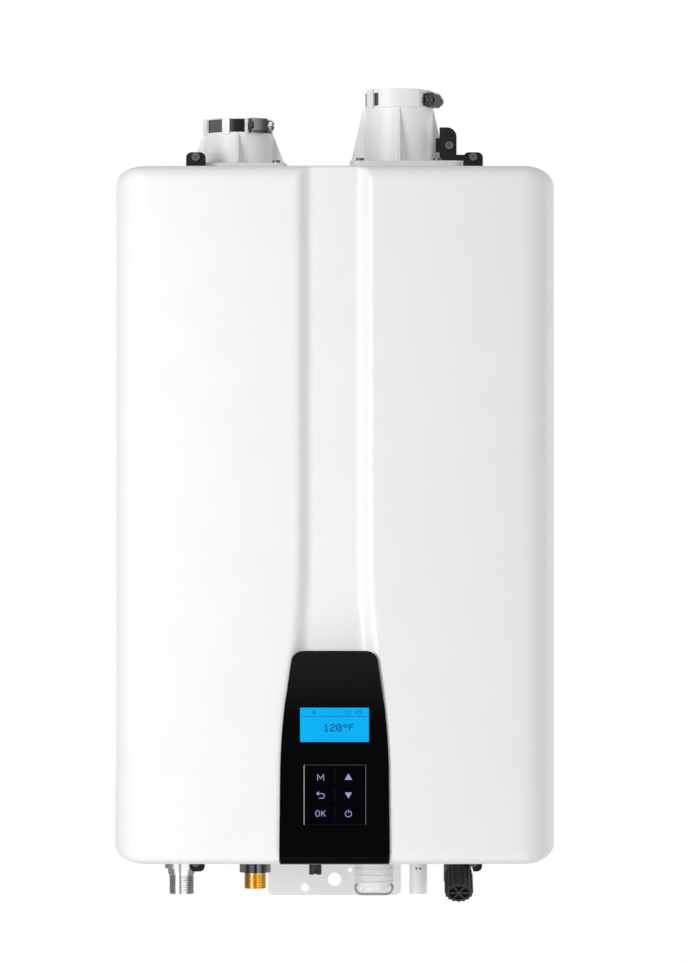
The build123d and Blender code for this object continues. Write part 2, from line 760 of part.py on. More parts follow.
# Upper wall bracket: a folded plate with two hooks that the case's slots hang on
wall_bracket = box(-BRACKET_W / 2, BRACKET_W / 2, -BRACKET_SHEET, 0, BRACKET_BOTTOM_Z, BRACKET_TOP_Z)
hook_end_y = -BRACKET_SHEET - HOOK_REACH
for hook_x in (-HOOK_X, HOOK_X):
    hook_left = hook_x - HOOK_W / 2
    hook_right = hook_x + HOOK_W / 2
    wall_bracket += box(hook_left, hook_right, hook_end_y, -BRACKET_SHEET, HOOK_Z, hook_top_z)
    lip_rear_y = hook_end_y + BRACKET_SHEET
    wall_bracket += box(hook_left, hook_right, hook_end_y, lip_rear_y, HOOK_Z, HOOK_Z + HOOK_H)
for hole_x in (-BRACKET_HOLE_SPAN / 2, BRACKET_HOLE_SPAN / 2):
    wall_bracket -= rod((hole_x, -BRACKET_SHEET - CUT, 0), (hole_x, CUT, 0), BRACKET_HOLE_R)
save("wall_bracket", wall_bracket)


# Lower wall bracket: stepped plate from the case's back down to the wall
lower_bottom_z = CASE_BOTTOM_Z - LOWER_DROP
lower_half_w = LOWER_W / 2
lower_bracket = box(-lower_half_w, lower_half_w, -BRACKET_SHEET, 0, lower_bottom_z, LOWER_STEP_Z)
step_top_z = LOWER_STEP_Z + BRACKET_SHEET
lower_bracket += box(-lower_half_w, lower_half_w, CASE_REAR_Y, 0, LOWER_STEP_Z, step_top_z)
upper_leg_y = CASE_REAR_Y + BRACKET_SHEET
leg_top_z = CASE_BOTTOM_Z + LOWER_TOP
lower_bracket += box(-lower_half_w, lower_half_w, CASE_REAR_Y, upper_leg_y, LOWER_STEP_Z, leg_top_z)
corner_edges = lower_bracket.edges().filter_by(Axis.Y).group_by(Axis.Z)[0]
lower_bracket = fillet(corner_edges, LOWER_CORNER_R)
lower_holes = (
    (0, LOWER_BIG_DROP, LOWER_BIG_R),
    (-LOWER_HOLE_X, LOWER_HOLE_DROP, LOWER_HOLE_R),
    (LOWER_HOLE_X, LOWER_HOLE_DROP, LOWER_HOLE_R),
    (LOWER_SMALL_X, LOWER_SMALL_DROP, LOWER_SMALL_R),
    (-LOWER_SMALL_X, LOWER_SMALL_DROP, LOWER_SMALL_R),
)
for hole_x, drop, hole_r in lower_holes:
    hole_z = CASE_BOTTOM_Z - drop
    lower_bracket -= rod((hole_x, -BRACKET_SHEET - CUT, hole_z), (hole_x, CUT, hole_z), hole_r)
save("lower_bracket", lower_bracket)


# Case gasket: a foam frame on the case's front lip
case_gasket = face_prism(
    CASE_OUT_W - 2 * LAP_GAP,
    CASE_OUT_H - 2 * LAP_GAP,
    CASE_CORNER_R - LAP_GAP,
    CASE_FRONT_Y - SEAL_T,
    CASE_FRONT_Y,
)
case_gasket -= face_prism(
    CASE_OUT_W - 2 * SEAL_W,
    CASE_OUT_H - 2 * SEAL_W,
    CASE_CORNER_R / 2,
    CASE_FRONT_Y - SEAL_T - CUT,
    CASE_FRONT_Y + CUT,
)
save("case_gasket", case_gasket)


# Cross rail: flat bar across the case's mouth with feet on the side walls
rail_half_w = CASE_W / 2 - CASE_INSET - LIP_W - RAIL_CLEAR
rail_foot_y = CASE_FRONT_Y + SHEET + RAIL_CLEAR
cross_rail = box(-rail_half_w, rail_half_w, RAIL_Y, RAIL_Y + RAIL_T, RAIL_BOTTOM_Z, RAIL_TOP_Z)
for side in (-1, 1):
    leg_out = side * rail_half_w
    leg_in = side * (rail_half_w - RAIL_T)
    foot_end = side * CASE_IN_HALF_W
    leg_back = rail_foot_y + RAIL_FOOT
    cross_rail += box(leg_in, leg_out, RAIL_Y, leg_back, RAIL_BOTTOM_Z, RAIL_TOP_Z)
    cross_rail += box(leg_in, foot_end, leg_back - RAIL_T, leg_back, RAIL_BOTTOM_Z, RAIL_TOP_Z)
save("cross_rail", cross_rail)


# Lugs: folded black brackets, on the cover and the case at the top, on the case at the bottom
def upright(x, y_front, low_z, high_z, round_top):
    """Standing plate of a lug with two round corners."""
    plate = box(x - LUG_W / 2, x + LUG_W / 2, y_front, y_front + LUG_T, low_z, high_z)
    level = -1 if round_top else 0
    corners = plate.edges().filter_by(Axis.Y).group_by(Axis.Z)[level]
    return fillet(corners, LUG_R)


lug_top_z = CASE_TOP_Z + LUG_H
lug_screw_z = CASE_TOP_Z + LUG_SCREW_H
case_lug_y = LUG_Y + LUG_T + LUG_BACK_GAP
cover_lugs = Part()
case_lugs = Part()
cover_screws = Part()
case_screws = Part()
for lug_x in (-LUG_X, LUG_X):
    foot_front_y = LUG_Y - LUG_FOOT_D
    foot_top_z = CASE_TOP_Z + LUG_FOOT_T
    lug = upright(lug_x, LUG_Y, CASE_TOP_Z, lug_top_z, True)
    lug += box(
        lug_x - LUG_FOOT_W / 2,
        lug_x + LUG_FOOT_W / 2,
        foot_front_y,
        LUG_Y + LUG_T,
        CASE_TOP_Z,
        foot_top_z,
    )
    lug -= rod(
        (lug_x, LUG_Y - CUT, lug_screw_z),
        (lug_x, LUG_Y + LUG_T + CUT, lug_screw_z),
        SCREW_HOLE_R,
    )
    for side in (-1, 1):
        rivet_x = lug_x + side * (LUG_FOOT_W / 2 - 2 * RIVET_R)
        rivet_y = LUG_Y - LUG_FOOT_D / 2
        lug += rod((rivet_x, rivet_y, CASE_TOP_Z), (rivet_x, rivet_y, foot_top_z + RIVET_H), RIVET_R)
    cover_lugs += lug
    cover_screws += screw_along_y(lug_x, lug_screw_z, LUG_Y, LUG_SCREW_LENGTH)
    back_lug = upright(lug_x, case_lug_y, CASE_OUT_TOP_Z, lug_top_z, True)
    back_lug += box(
        lug_x - LUG_W / 2,
        lug_x + LUG_W / 2,
        case_lug_y,
        case_lug_y + CASE_LUG_FOOT_D,
        CASE_OUT_TOP_Z,
        CASE_OUT_TOP_Z + LUG_FOOT_T,
    )
    back_lug -= rod(
        (lug_x, case_lug_y - CUT, lug_screw_z),
        (lug_x, case_lug_y + LUG_T + CUT, lug_screw_z),
        SCREW_R + GAP,
    )
    case_lugs += back_lug
    low_hole_z = CASE_BOTTOM_Z - LOWER_LUG_SCREW_DROP
    low_left = lug_x - LOWER_LUG_LEFT
    low_right = lug_x + LOWER_LUG_RIGHT
    low_lug_z = CASE_BOTTOM_Z - LOWER_LUG_H
    low_lug = box(low_left, low_right, LUG_Y, LUG_Y + LUG_T, low_lug_z, CASE_OUT_BOTTOM_Z)
    low_lug = fillet(low_lug.edges().filter_by(Axis.Y).group_by(Axis.Z)[0], LUG_R)
    low_lug += box(
        low_left,
        low_right,
        LUG_Y,
        LUG_Y + CASE_LUG_FOOT_D,
        CASE_OUT_BOTTOM_Z - LUG_FOOT_T,
        CASE_OUT_BOTTOM_Z,
    )
    low_lug -= rod(
        (lug_x, LUG_Y - CUT, low_hole_z),
        (lug_x, LUG_Y + LUG_T + CUT, low_hole_z),
        SCREW_R,
    )
    case_lugs += low_lug
    case_screws += screw_along_y(lug_x, low_hole_z, LUG_Y, LUG_SCREW_LENGTH)
branch_clear = rod(
    (COLD_X, CAP_START_Y + LOWER_TOP, CAP_START_Z + LOWER_TOP),
    (COLD_X, CAP_START_Y - CAP_LENGTH, CAP_START_Z - CAP_LENGTH),
    CAP_R + COLLAR_HOLE_CLEAR,
)
case_lugs -= branch_clear
save("cover_lugs", cover_lugs)
save("cover_screws", cover_screws)
save("case_lugs", case_lugs)


# Vent collars: moulded sockets with gusset fins, a base, and bridges over the clamp band
def collar_fin(center_x, turn, foot_z, top_z):
    """Triangular gusset from the tube down to the base."""
    points = (
        (COLLAR_NECK_R - FIN_T, foot_z),
        (FIN_FOOT_R, foot_z),
        (COLLAR_R, top_z),
        (COLLAR_NECK_R - FIN_T, top_z),
    )
    face = make_face(Polyline(*points, close=True))
    plate = Pos(0, FIN_T / 2, 0) * extrude(Plane.XZ * face, FIN_T)
    return Pos(center_x, COLLAR_Y, 0) * Rot(0, 0, turn) * plate


def ring_sector(turn, width, inner_r, outer_r, low_z, high_z):
    """Part of a ring, width degrees wide about the direction turn, seen from the front."""
    half = math.radians(width / 2)
    reach = 2 * outer_r
    wedge = make_face(
        Polyline(
            (0, 0),
            (-reach * math.sin(half), -reach * math.cos(half)),
            (reach * math.sin(half), -reach * math.cos(half)),
            close=True,
        )
    )
    sketch = (Circle(outer_r) - Circle(inner_r)) & wedge
    return Rot(0, 0, turn) * (Pos(0, 0, low_z) * extrude(sketch, high_z - low_z))


def make_collar(center_x, height, base_h, rim_h, right_reach, bridges):
    """One vent collar with its socket, its base and its fins."""
    top_z = CASE_TOP_Z + height
    base_top_z = CASE_TOP_Z + base_h
    base_low_z = CASE_OUT_TOP_Z + GASKET_T
    band_top_z = top_z - rim_h
    band_low_z = band_top_z - BAND_H
    axis_low = (center_x, COLLAR_Y, CASE_OUT_TOP_Z - COLLAR_TAIL)
    body = rod((center_x, COLLAR_Y, base_low_z), (center_x, COLLAR_Y, top_z), COLLAR_R)
    body += rod(axis_low, (center_x, COLLAR_Y, base_top_z), COLLAR_TAIL_R)
    base_w = COLLAR_BASE_HALF + right_reach
    base_mid_x = center_x + (right_reach - COLLAR_BASE_HALF) / 2
    outline = RectangleRounded(base_w, 2 * COLLAR_BASE_HALF, COLLAR_BASE_R)
    block = extrude(outline, base_top_z - base_low_z)
    inner = RectangleRounded(
        base_w - 2 * COLLAR_BASE_WALL,
        2 * COLLAR_BASE_HALF - 2 * COLLAR_BASE_WALL,
        COLLAR_BASE_R - COLLAR_BASE_WALL,
    )
    pocket = extrude(inner, base_top_z - base_low_z - COLLAR_BASE_WALL)
    base = Pos(base_mid_x, COLLAR_Y, base_low_z) * (block - pocket)
    for corner_x in (-COLLAR_SCREW_OFFSET, COLLAR_SCREW_OFFSET):
        for corner_y in (-COLLAR_SCREW_OFFSET, COLLAR_SCREW_OFFSET):
            post_x = center_x + corner_x
            post_y = COLLAR_Y + corner_y
            base += rod((post_x, post_y, base_low_z), (post_x, post_y, base_top_z), 2 * SCREW_HOLE_R)
    body += base
    for corner_x in (-COLLAR_SCREW_OFFSET, COLLAR_SCREW_OFFSET):
        for corner_y in (-COLLAR_SCREW_OFFSET, COLLAR_SCREW_OFFSET):
            post_x = center_x + corner_x
            post_y = COLLAR_Y + corner_y
            body -= rod(
                (post_x, post_y, base_low_z - CUT), (post_x, post_y, base_top_z + CUT), SCREW_R
            )
    for turn in (0, 90, 180, 270):
        body += collar_fin(center_x, turn, base_top_z - COLLAR_BASE_WALL, band_low_z)
    groove = Circle(2 * COLLAR_R) - Circle(COLLAR_NECK_R)
    body -= Pos(center_x, COLLAR_Y, band_low_z) * extrude(groove, BAND_H)
    bridge_in = COLLAR_NECK_R + BAND_T
    bridge_out = COLLAR_R + BRIDGE_T
    step = BRIDGE_T
    for turn, width in bridges:
        span = ring_sector(turn, width, bridge_in, bridge_out, band_low_z - step, top_z)
        for low_z, high_z in ((band_low_z - step, band_low_z), (band_top_z, top_z)):
            span += ring_sector(turn, width, COLLAR_NECK_R, bridge_out, low_z, high_z)
        body += Pos(center_x, COLLAR_Y, 0) * span
    socket_low = (center_x, COLLAR_Y, top_z - SOCKET_LENGTH)
    body -= rod(socket_low, (center_x, COLLAR_Y, top_z + CUT), SOCKET_BORE_R)
    bore_low = (center_x, COLLAR_Y, CASE_OUT_TOP_Z - COLLAR_TAIL - CUT)
    body -= rod(bore_low, (center_x, COLLAR_Y, top_z), COLLAR_BORE_R)
    return body


exhaust_collar = make_collar(
    EXHAUST_X, EXHAUST_H, EXHAUST_BASE_H, EXHAUST_RIM_H, COLLAR_BASE_RIGHT, EXHAUST_BRIDGE_TURNS
)
intake_collar = make_collar(
    INTAKE_X, INTAKE_H, INTAKE_BASE_H, INTAKE_RIM_H, COLLAR_BASE_HALF, INTAKE_BRIDGE_TURNS
)
save("exhaust_collar", exhaust_collar)
save("intake_collar", intake_collar)

collar_gaskets = Part()
collars = (
    (EXHAUST_X, EXHAUST_H, EXHAUST_BASE_H, EXHAUST_RIM_H, COLLAR_BASE_RIGHT, EXHAUST_WORM_TURN),
    (INTAKE_X, INTAKE_H, INTAKE_BASE_H, INTAKE_RIM_H, COLLAR_BASE_HALF, INTAKE_WORM_TURN),
)
clamp_bands = Part()
worm_screws = []
worm_r_center = COLLAR_NECK_R + BAND_T + WORM_BOX_T / 2
for center_x, height, base_h, rim_h, right_reach, turn in collars:
    base_w = COLLAR_BASE_HALF + right_reach
    base_mid_x = center_x + (right_reach - COLLAR_BASE_HALF) / 2
    pad = RectangleRounded(base_w, 2 * COLLAR_BASE_HALF, COLLAR_BASE_R)
    hole_x = center_x - base_mid_x
    pad -= Pos(hole_x, 0) * Circle(collar_hole_r)
    for corner_x in (-COLLAR_SCREW_OFFSET, COLLAR_SCREW_OFFSET):
        for corner_y in (-COLLAR_SCREW_OFFSET, COLLAR_SCREW_OFFSET):
            pad -= Pos(hole_x + corner_x, corner_y) * Circle(SCREW_HOLE_R)
            case_screws += screw_along_z(
                center_x + corner_x,
                COLLAR_Y + corner_y,
                CASE_TOP_Z + base_h,
                base_h + COLLAR_SCREW_LENGTH - CASE_INSET - SHEET,
            )
    collar_gaskets += Pos(base_mid_x, COLLAR_Y, CASE_OUT_TOP_Z) * extrude(pad, GASKET_T)
    band_mid_z = CASE_TOP_Z + height - rim_h - BAND_H / 2
    band = Circle(COLLAR_NECK_R + BAND_T) - Circle(COLLAR_NECK_R)
    ring = Pos(center_x, COLLAR_Y, band_mid_z - BAND_H / 2) * extrude(band, BAND_H)
    place = Pos(center_x, COLLAR_Y, band_mid_z) * Rot(0, 0, turn)
    outer_y = -worm_r_center - WORM_BOX_T / 2
    housing = box(
        -WORM_BOX_W / 2,
        WORM_BOX_W / 2,
        outer_y,
        -COLLAR_NECK_R,
        -WORM_BOX_H / 2,
        WORM_BOX_H / 2,
    )
    housing = chamfer(housing.edges().filter_by(Axis.X).group_by(Axis.Y)[0], WORM_BOX_T / 4)
    housing -= rod((0, 0, -WORM_BOX_H), (0, 0, WORM_BOX_H), COLLAR_R)
    neck = box(
        -WORM_BOX_W / 2,
        WORM_BOX_W / 2,
        -COLLAR_R,
        -COLLAR_NECK_R / 2,
        -BAND_H / 2,
        BAND_H / 2,
    )
    housing += neck - rod((0, 0, -WORM_BOX_H), (0, 0, WORM_BOX_H), COLLAR_NECK_R)
    worm_bore = WORM_R + FIT
    housing -= rod((-WORM_BOX_W, -worm_r_center, 0), (WORM_BOX_W, -worm_r_center, 0), worm_bore)
    clamp_bands += ring + place * housing
    worm_end = WORM_BOX_W / 2 + WORM_TIP
    worm = rod((-worm_end, -worm_r_center, 0), (worm_end, -worm_r_center, 0), WORM_R)
    hexagon = RegularPolygon(WORM_HEAD_R, 6)
    head = Pos(worm_end, -worm_r_center, 0) * extrude(Plane.YZ * hexagon, WORM_HEAD_T)
    slot_end = worm_end + WORM_HEAD_T
    slot = box(
        slot_end - SOCKET_DEPTH,
        slot_end + CUT,
        -worm_r_center - WORM_HEAD_R,
        -worm_r_center + WORM_HEAD_R,
        -SOCKET_R / 2,
        SOCKET_R / 2,
    )
    worm_screws.append(place * (worm + head - slot))
save("collar_gaskets", collar_gaskets)
save("clamp_bands", clamp_bands)
save("exhaust_clamp_screw", worm_screws[0])
save("intake_clamp_screw", worm_screws[1])


# Lock plate: black folded plate on the exhaust collar's base
lock_low_z = CASE_TOP_Z + EXHAUST_BASE_H
lock_top_z = CASE_TOP_Z + LOCK_TOP
lock_plate = box(LOCK_X0, LOCK_X1, LOCK_Y, LOCK_Y + LOCK_T, lock_low_z, lock_top_z)
top_right = lock_plate.edges().filter_by(Axis.Y).group_by(Axis.Z)[-1].sort_by(Axis.X)[-1]
lock_plate = fillet(top_right, LOCK_R)
lock_plate += box(
    LOCK_X0 - LOCK_TAB_W,
    LOCK_X0,
    LOCK_Y,
    LOCK_Y + LOCK_T,
    CASE_TOP_Z + LOCK_TAB_LOW,
    CASE_TOP_Z + LOCK_TAB_HIGH,
)
lock_plate += box(
    LOCK_X1,
    LOCK_ARM_END,
    LOCK_Y,
    LOCK_Y + LOCK_T,
    CASE_TOP_Z + LOCK_ARM_LOW,
    CASE_TOP_Z + LOCK_ARM_HIGH,
)
lock_plate += box(LOCK_X0, LOCK_X1, LOCK_Y, LOCK_Y + LOCK_FOOT_D, lock_low_z, lock_low_z + LOCK_T)
lock_screw_z = CASE_TOP_Z + LOCK_SCREW_H
lock_plate -= rod(
    (LOCK_SCREW_X, LOCK_Y - CUT, lock_screw_z),
    (LOCK_SCREW_X, LOCK_Y + LOCK_T + CUT, lock_screw_z),
    SCREW_R,
)
case_screws += screw_along_y(LOCK_SCREW_X, lock_screw_z, LOCK_Y, LUG_SCREW_LENGTH)
save("lock_plate", lock_plate)
save("case_screws", case_screws)


# Control panel: a deep black tub with a window for the lens and one for the key plate
panel_bezel = panel_prism(0, CASE_BOTTOM_Z, PANEL_FRONT_Y, PANEL_REAR_Y)
edge_front = PANEL_FRONT_Y
edge_bevel = COVER_EDGE_R * (1 - SLANT_SHARE)
lower_round = make_face(
    ThreePointArc(
        (edge_front, CASE_BOTTOM_Z + COVER_EDGE_R),
        (edge_front + edge_bevel, CASE_BOTTOM_Z + edge_bevel),
        (edge_front + COVER_EDGE_R, CASE_BOTTOM_Z),
    )
    + Polyline(
        (edge_front + COVER_EDGE_R, CASE_BOTTOM_Z),
        (edge_front + COVER_EDGE_R, CASE_BOTTOM_Z - CUT),
        (edge_front - CUT, CASE_BOTTOM_Z - CUT),
        (edge_front - CUT, CASE_BOTTOM_Z + COVER_EDGE_R),
        (edge_front, CASE_BOTTOM_Z + COVER_EDGE_R),
    )
)
panel_bezel -= Pos(-CASE_W / 2, 0, 0) * extrude(Plane.YZ * lower_round, CASE_W)
hollow_front_y = PANEL_FRONT_Y + PANEL_WALL
hollow = panel_prism(-PANEL_WALL, CASE_BOTTOM_Z + PANEL_WALL, hollow_front_y, PANEL_REAR_Y + CUT)
corner_block = Pos(-CASE_W / 2, PANEL_WALL, PANEL_WALL) * extrude(Plane.YZ * lower_round, CASE_W)
hollow -= corner_block
panel_bezel -= hollow
panel_bezel -= box(
    -DISPLAY_W / 2,
    DISPLAY_W / 2,
    PANEL_FRONT_Y - CUT,
    hollow_front_y + CUT,
    DISPLAY_Z - DISPLAY_H / 2,
    DISPLAY_Z + DISPLAY_H / 2,
)
panel_bezel -= box(
    -KEYPAD_W / 2,
    KEYPAD_W / 2,
    PANEL_FRONT_Y - CUT,
    hollow_front_y + CUT,
    KEYPAD_Z - KEYPAD_H / 2,
    KEYPAD_Z + KEYPAD_H / 2,
)
for tower_x in (-TOWER_X, TOWER_X):
    panel_bezel += rod((tower_x, hollow_front_y, TOWER_Z), (tower_x, RAIL_Y, TOWER_Z), TOWER_R)
boss_places = []
for board_z in (BOARD_TOP_Z - BOARD_BOSS_INSET, BOARD_BOTTOM_Z + BOARD_BOSS_INSET):
    for board_x in (-BOARD_HALF_W + BOARD_BOSS_INSET, BOARD_HALF_W - BOARD_BOSS_INSET):
        boss_places.append((board_x, board_z))
for board_x, board_z in boss_places:
    panel_bezel += rod((board_x, hollow_front_y, board_z), (board_x, BOARD_Y, board_z), BOARD_BOSS_R)
save("panel_bezel", panel_bezel)

lens_front_y = PANEL_FRONT_Y + LENS_SET_BACK
display_lens = box(
    -DISPLAY_W / 2,
    DISPLAY_W / 2,
    lens_front_y,
    lens_front_y + LENS_T,
    DISPLAY_Z - DISPLAY_H / 2,
    DISPLAY_Z + DISPLAY_H / 2,
)
save("display_lens", display_lens)

display_module = box(
    -DISPLAY_W / 2 - MODULE_MARGIN,
    DISPLAY_W / 2 + MODULE_MARGIN,
    hollow_front_y,
    BOARD_Y,
    DISPLAY_Z - DISPLAY_H / 2 - MODULE_MARGIN,
    DISPLAY_Z + DISPLAY_H / 2 + MODULE_MARGIN,
)
for board_x, board_z in boss_places:
    clear_r = BOARD_BOSS_R + GAP
    hole_low = (board_x, hollow_front_y - CUT, board_z)
    display_module -= rod(hole_low, (board_x, BOARD_Y + CUT, board_z), clear_r)
save("display_module", display_module)


# Key plate and the six keys behind it, each pressed onto a switch on the panel board
key_places = {
    "key_mode": (-0.5, 1),
    "key_back": (-0.5, 0),
    "key_ok": (-0.5, -1),
    "key_up": (0.5, 1),
    "key_down": (0.5, 0),
    "key_power": (0.5, -1),
}
key_plate_front_y = PANEL_FRONT_Y + KEYPAD_SET_BACK
key_plate_back_y = key_plate_front_y + KEYPAD_T
key_plate = box(
    -KEYPAD_W / 2,
    KEYPAD_W / 2,
    key_plate_front_y,
    key_plate_back_y,
    KEYPAD_Z - KEYPAD_H / 2,
    KEYPAD_Z + KEYPAD_H / 2,
)
switch_front_y = BOARD_Y - SWITCH_H
panel_board = box(
    -BOARD_HALF_W, BOARD_HALF_W, BOARD_Y, BOARD_Y + BOARD_T, BOARD_BOTTOM_Z, BOARD_TOP_Z
)
for key_name, (share_x, share_z) in key_places.items():
    key_x = share_x * KEY_STEP_X
    key_z = KEYPAD_Z + share_z * KEY_STEP_Z
    hole_w = KEY_W + 2 * GAP
    hole_h = KEY_H + 2 * GAP
    opening = extrude(Plane.XZ * RectangleRounded(hole_w, hole_h, KEY_R + GAP), KEYPAD_T + 2 * CUT)
    key_plate -= Pos(key_x, key_plate_back_y + CUT, key_z) * opening
    cap = extrude(Plane.XZ * RectangleRounded(KEY_W, KEY_H, KEY_R), KEY_T)
    key = Pos(key_x, key_plate_front_y + KEY_T, key_z) * cap
    stem_end_y = switch_front_y - KEY_TRAVEL - GAP
    key += rod((key_x, key_plate_front_y + KEY_T, key_z), (key_x, stem_end_y, key_z), KEY_STEM_R)
    panel_board += rod((key_x, switch_front_y, key_z), (key_x, BOARD_Y, key_z), SWITCH_R)
    save(key_name, key)
save("key_plate", key_plate)
save("panel_board", panel_board)


# Air filter under the intake collar: a frame with a cross of ribs, fixed to the case's roof
filter_top_z = CASE_IN_TOP_Z
filter_low_z = CASE_OUT_TOP_Z - COLLAR_TAIL - FILTER_TOP_GAP - FILTER_WALL
air_filter = box(
    INTAKE_X - FILTER_HALF_W,
    INTAKE_X + FILTER_HALF_W,
    COLLAR_Y - FILTER_HALF_W,
    COLLAR_Y + FILTER_HALF_W,
    filter_low_z,
    filter_top_z,
)
filter_in = FILTER_HALF_W - FILTER_WALL
air_filter -= box(
    INTAKE_X - filter_in,
    INTAKE_X + filter_in,
    COLLAR_Y - filter_in,
    COLLAR_Y + filter_in,
    filter_low_z + FILTER_WALL,
    filter_top_z + CUT,
)
mesh_step = 2 * filter_in / FILTER_CELLS
for mesh_x in range(FILTER_CELLS):
    for mesh_y in range(FILTER_CELLS):
        cell_x = INTAKE_X - filter_in + mesh_step * mesh_x + FILTER_WALL / 2
        cell_y = COLLAR_Y - filter_in + mesh_step * mesh_y + FILTER_WALL / 2
        air_filter -= box(
            cell_x,
            cell_x + mesh_step - FILTER_WALL,
            cell_y,
            cell_y + mesh_step - FILTER_WALL,
            filter_low_z - CUT,
            filter_low_z + FILTER_WALL + CUT,
        )
save("air_filter", air_filter)


# Flue duct between the secondary exchanger and the exhaust collar
flue_top_z = CASE_OUT_TOP_Z - COLLAR_TAIL
flue_duct = tube(
    (EXHAUST_X, COLLAR_Y, EX_TOP_Z), (EXHAUST_X, COLLAR_Y, flue_top_z), FLUE_R, FLUE_R - FLUE_WALL
)
save("flue_duct", flue_duct)


# Secondary exchanger: pressed stainless box with ribs, open to the flue at its top
def ribbed_box(x0, x1, y_front, y_rear, z0, z1):
    """Sheet box, hollow, with standing ribs on its front."""
    shell = box(x0, x1, y_front, y_rear, z0, z1)
    inside = box(
        x0 + EX_SHEET, x1 - EX_SHEET, y_front + EX_SHEET, y_rear - EX_SHEET, z0 + EX_SHEET, z1 - EX_SHEET
    )
    shell -= inside
    pitch = (z1 - z0) / (RIB_COUNT + 1)
    for index in range(RIB_COUNT):
        rib_z = z0 + pitch * (index + 1)
        shell += box(x0 + RIB_W, x1 - RIB_W, y_front - RIB_T, y_front, rib_z - RIB_W / 2, rib_z + RIB_W / 2)
    return shell


secondary = ribbed_box(
    EX_LEFT_X, EX_RIGHT_X, SECONDARY_FRONT_Y, SECONDARY_BACK_Y, EX_BOTTOM_Z, EX_TOP_Z
)
secondary -= rod(
    (EXHAUST_X, COLLAR_Y, EX_TOP_Z - EX_SHEET - CUT),
    (EXHAUST_X, COLLAR_Y, EX_TOP_Z + CUT),
    FLUE_R - FLUE_WALL,
)
save("secondary_exchanger", secondary)

primary_top_z = EX_TOP_Z - BURNER_H
primary = ribbed_box(
    EX_LEFT_X, EX_RIGHT_X, PRIMARY_FRONT_Y, PRIMARY_BACK_Y, EX_BOTTOM_Z, primary_top_z
)
coil_pitch = (primary_top_z - EX_BOTTOM_Z) / (COIL_COUNT + 1)
coil_mid_y = (PRIMARY_FRONT_Y + PRIMARY_BACK_Y) / 2
for index in range(COIL_COUNT):
    bend_z = EX_BOTTOM_Z + coil_pitch * (index + 1)
    ends = (coil_mid_y - coil_pitch / 2, coil_mid_y + coil_pitch / 2)
    bend_out = EX_RIGHT_X + coil_pitch / 2
    route = (
        (EX_RIGHT_X, ends[0], bend_z),
        (bend_out, ends[0], bend_z),
        (bend_out, ends[1], bend_z),
        (EX_RIGHT_X, ends[1], bend_z),
    )
    primary += bent_pipe(route, COIL_R, EX_SHEET, coil_pitch / 2 - EX_SHEET)
save("primary_exchanger", primary)


# Burner head on top of the primary exchanger, fed with mixture from the fan
burner_head = box(
    EX_LEFT_X, EX_RIGHT_X, PRIMARY_FRONT_Y, PRIMARY_BACK_Y, primary_top_z, primary_top_z + BURNER_H
)
burner_head -= box(
    EX_LEFT_X - CUT,
    EX_RIGHT_X - RIB_W,
    PRIMARY_FRONT_Y + RIB_W,
    PRIMARY_BACK_Y - RIB_W,
    primary_top_z + EX_SHEET,
    primary_top_z + BURNER_H - EX_SHEET,
)
port_pitch = (EX_RIGHT_X - EX_LEFT_X - 2 * RIB_W) / PORT_COUNT
for index in range(PORT_COUNT):
    port_x = EX_LEFT_X + RIB_W + port_pitch * (index + 0.5)
    burner_head -= box(
        port_x - RIB_T / 2,
        port_x + RIB_T / 2,
        PRIMARY_FRONT_Y + 2 * RIB_W,
        PRIMARY_BACK_Y - 2 * RIB_W,
        primary_top_z - CUT,
        primary_top_z + EX_SHEET + CUT,
    )
save("burner_head", burner_head)

igniter_x = EX_LEFT_X + IGNITER_OFFSET
igniter_y = PRIMARY_FRONT_Y
igniter_z = primary_top_z + BURNER_H / 2
igniter = box(
    igniter_x - IGNITER_W / 2,
    igniter_x + IGNITER_W / 2,
    igniter_y - IGNITER_T,
    igniter_y,
    igniter_z - IGNITER_H / 2,
    igniter_z + IGNITER_H / 2,
)
for side in (-1, 1):
    rod_x = igniter_x + side * IGNITER_W / 4
    igniter += rod((rod_x, igniter_y - ELECTRODE_L, igniter_z), (rod_x, igniter_y, igniter_z), ELECTRODE_R)
save("igniter", igniter)


# Condensate tray under both exchangers, with a drain spout over the trap
tray_top_z = EX_BOTTOM_Z
tray_low_z = EX_BOTTOM_Z - TRAY_H
condensate_tray = box(
    EX_LEFT_X, EX_RIGHT_X, PRIMARY_FRONT_Y, SECONDARY_BACK_Y, tray_low_z, tray_top_z
)
condensate_tray -= box(
    EX_LEFT_X + TRAY_RIM,
    EX_RIGHT_X - TRAY_RIM,
    PRIMARY_FRONT_Y + TRAY_RIM,
    SECONDARY_BACK_Y - TRAY_RIM,
    tray_low_z + DRAIN_WALL,
    tray_top_z + CUT,
)
condensate_tray += rod((TRAP_X, FITTING_Y, TRAP_TOP_Z), (TRAP_X, FITTING_Y, tray_low_z), DRAIN_R)
condensate_tray -= rod(
    (TRAP_X, FITTING_Y, TRAP_TOP_Z - CUT), (TRAP_X, FITTING_Y, tray_top_z), DRAIN_R - DRAIN_WALL
)
for hanger_x in (EX_LEFT_X, EX_RIGHT_X - HANGER_W):
    condensate_tray += box(
        hanger_x, hanger_x + HANGER_W, SECONDARY_BACK_Y, CASE_REAR_Y - SHEET, tray_low_z, tray_top_z
    )
save("condensate_tray", condensate_tray)


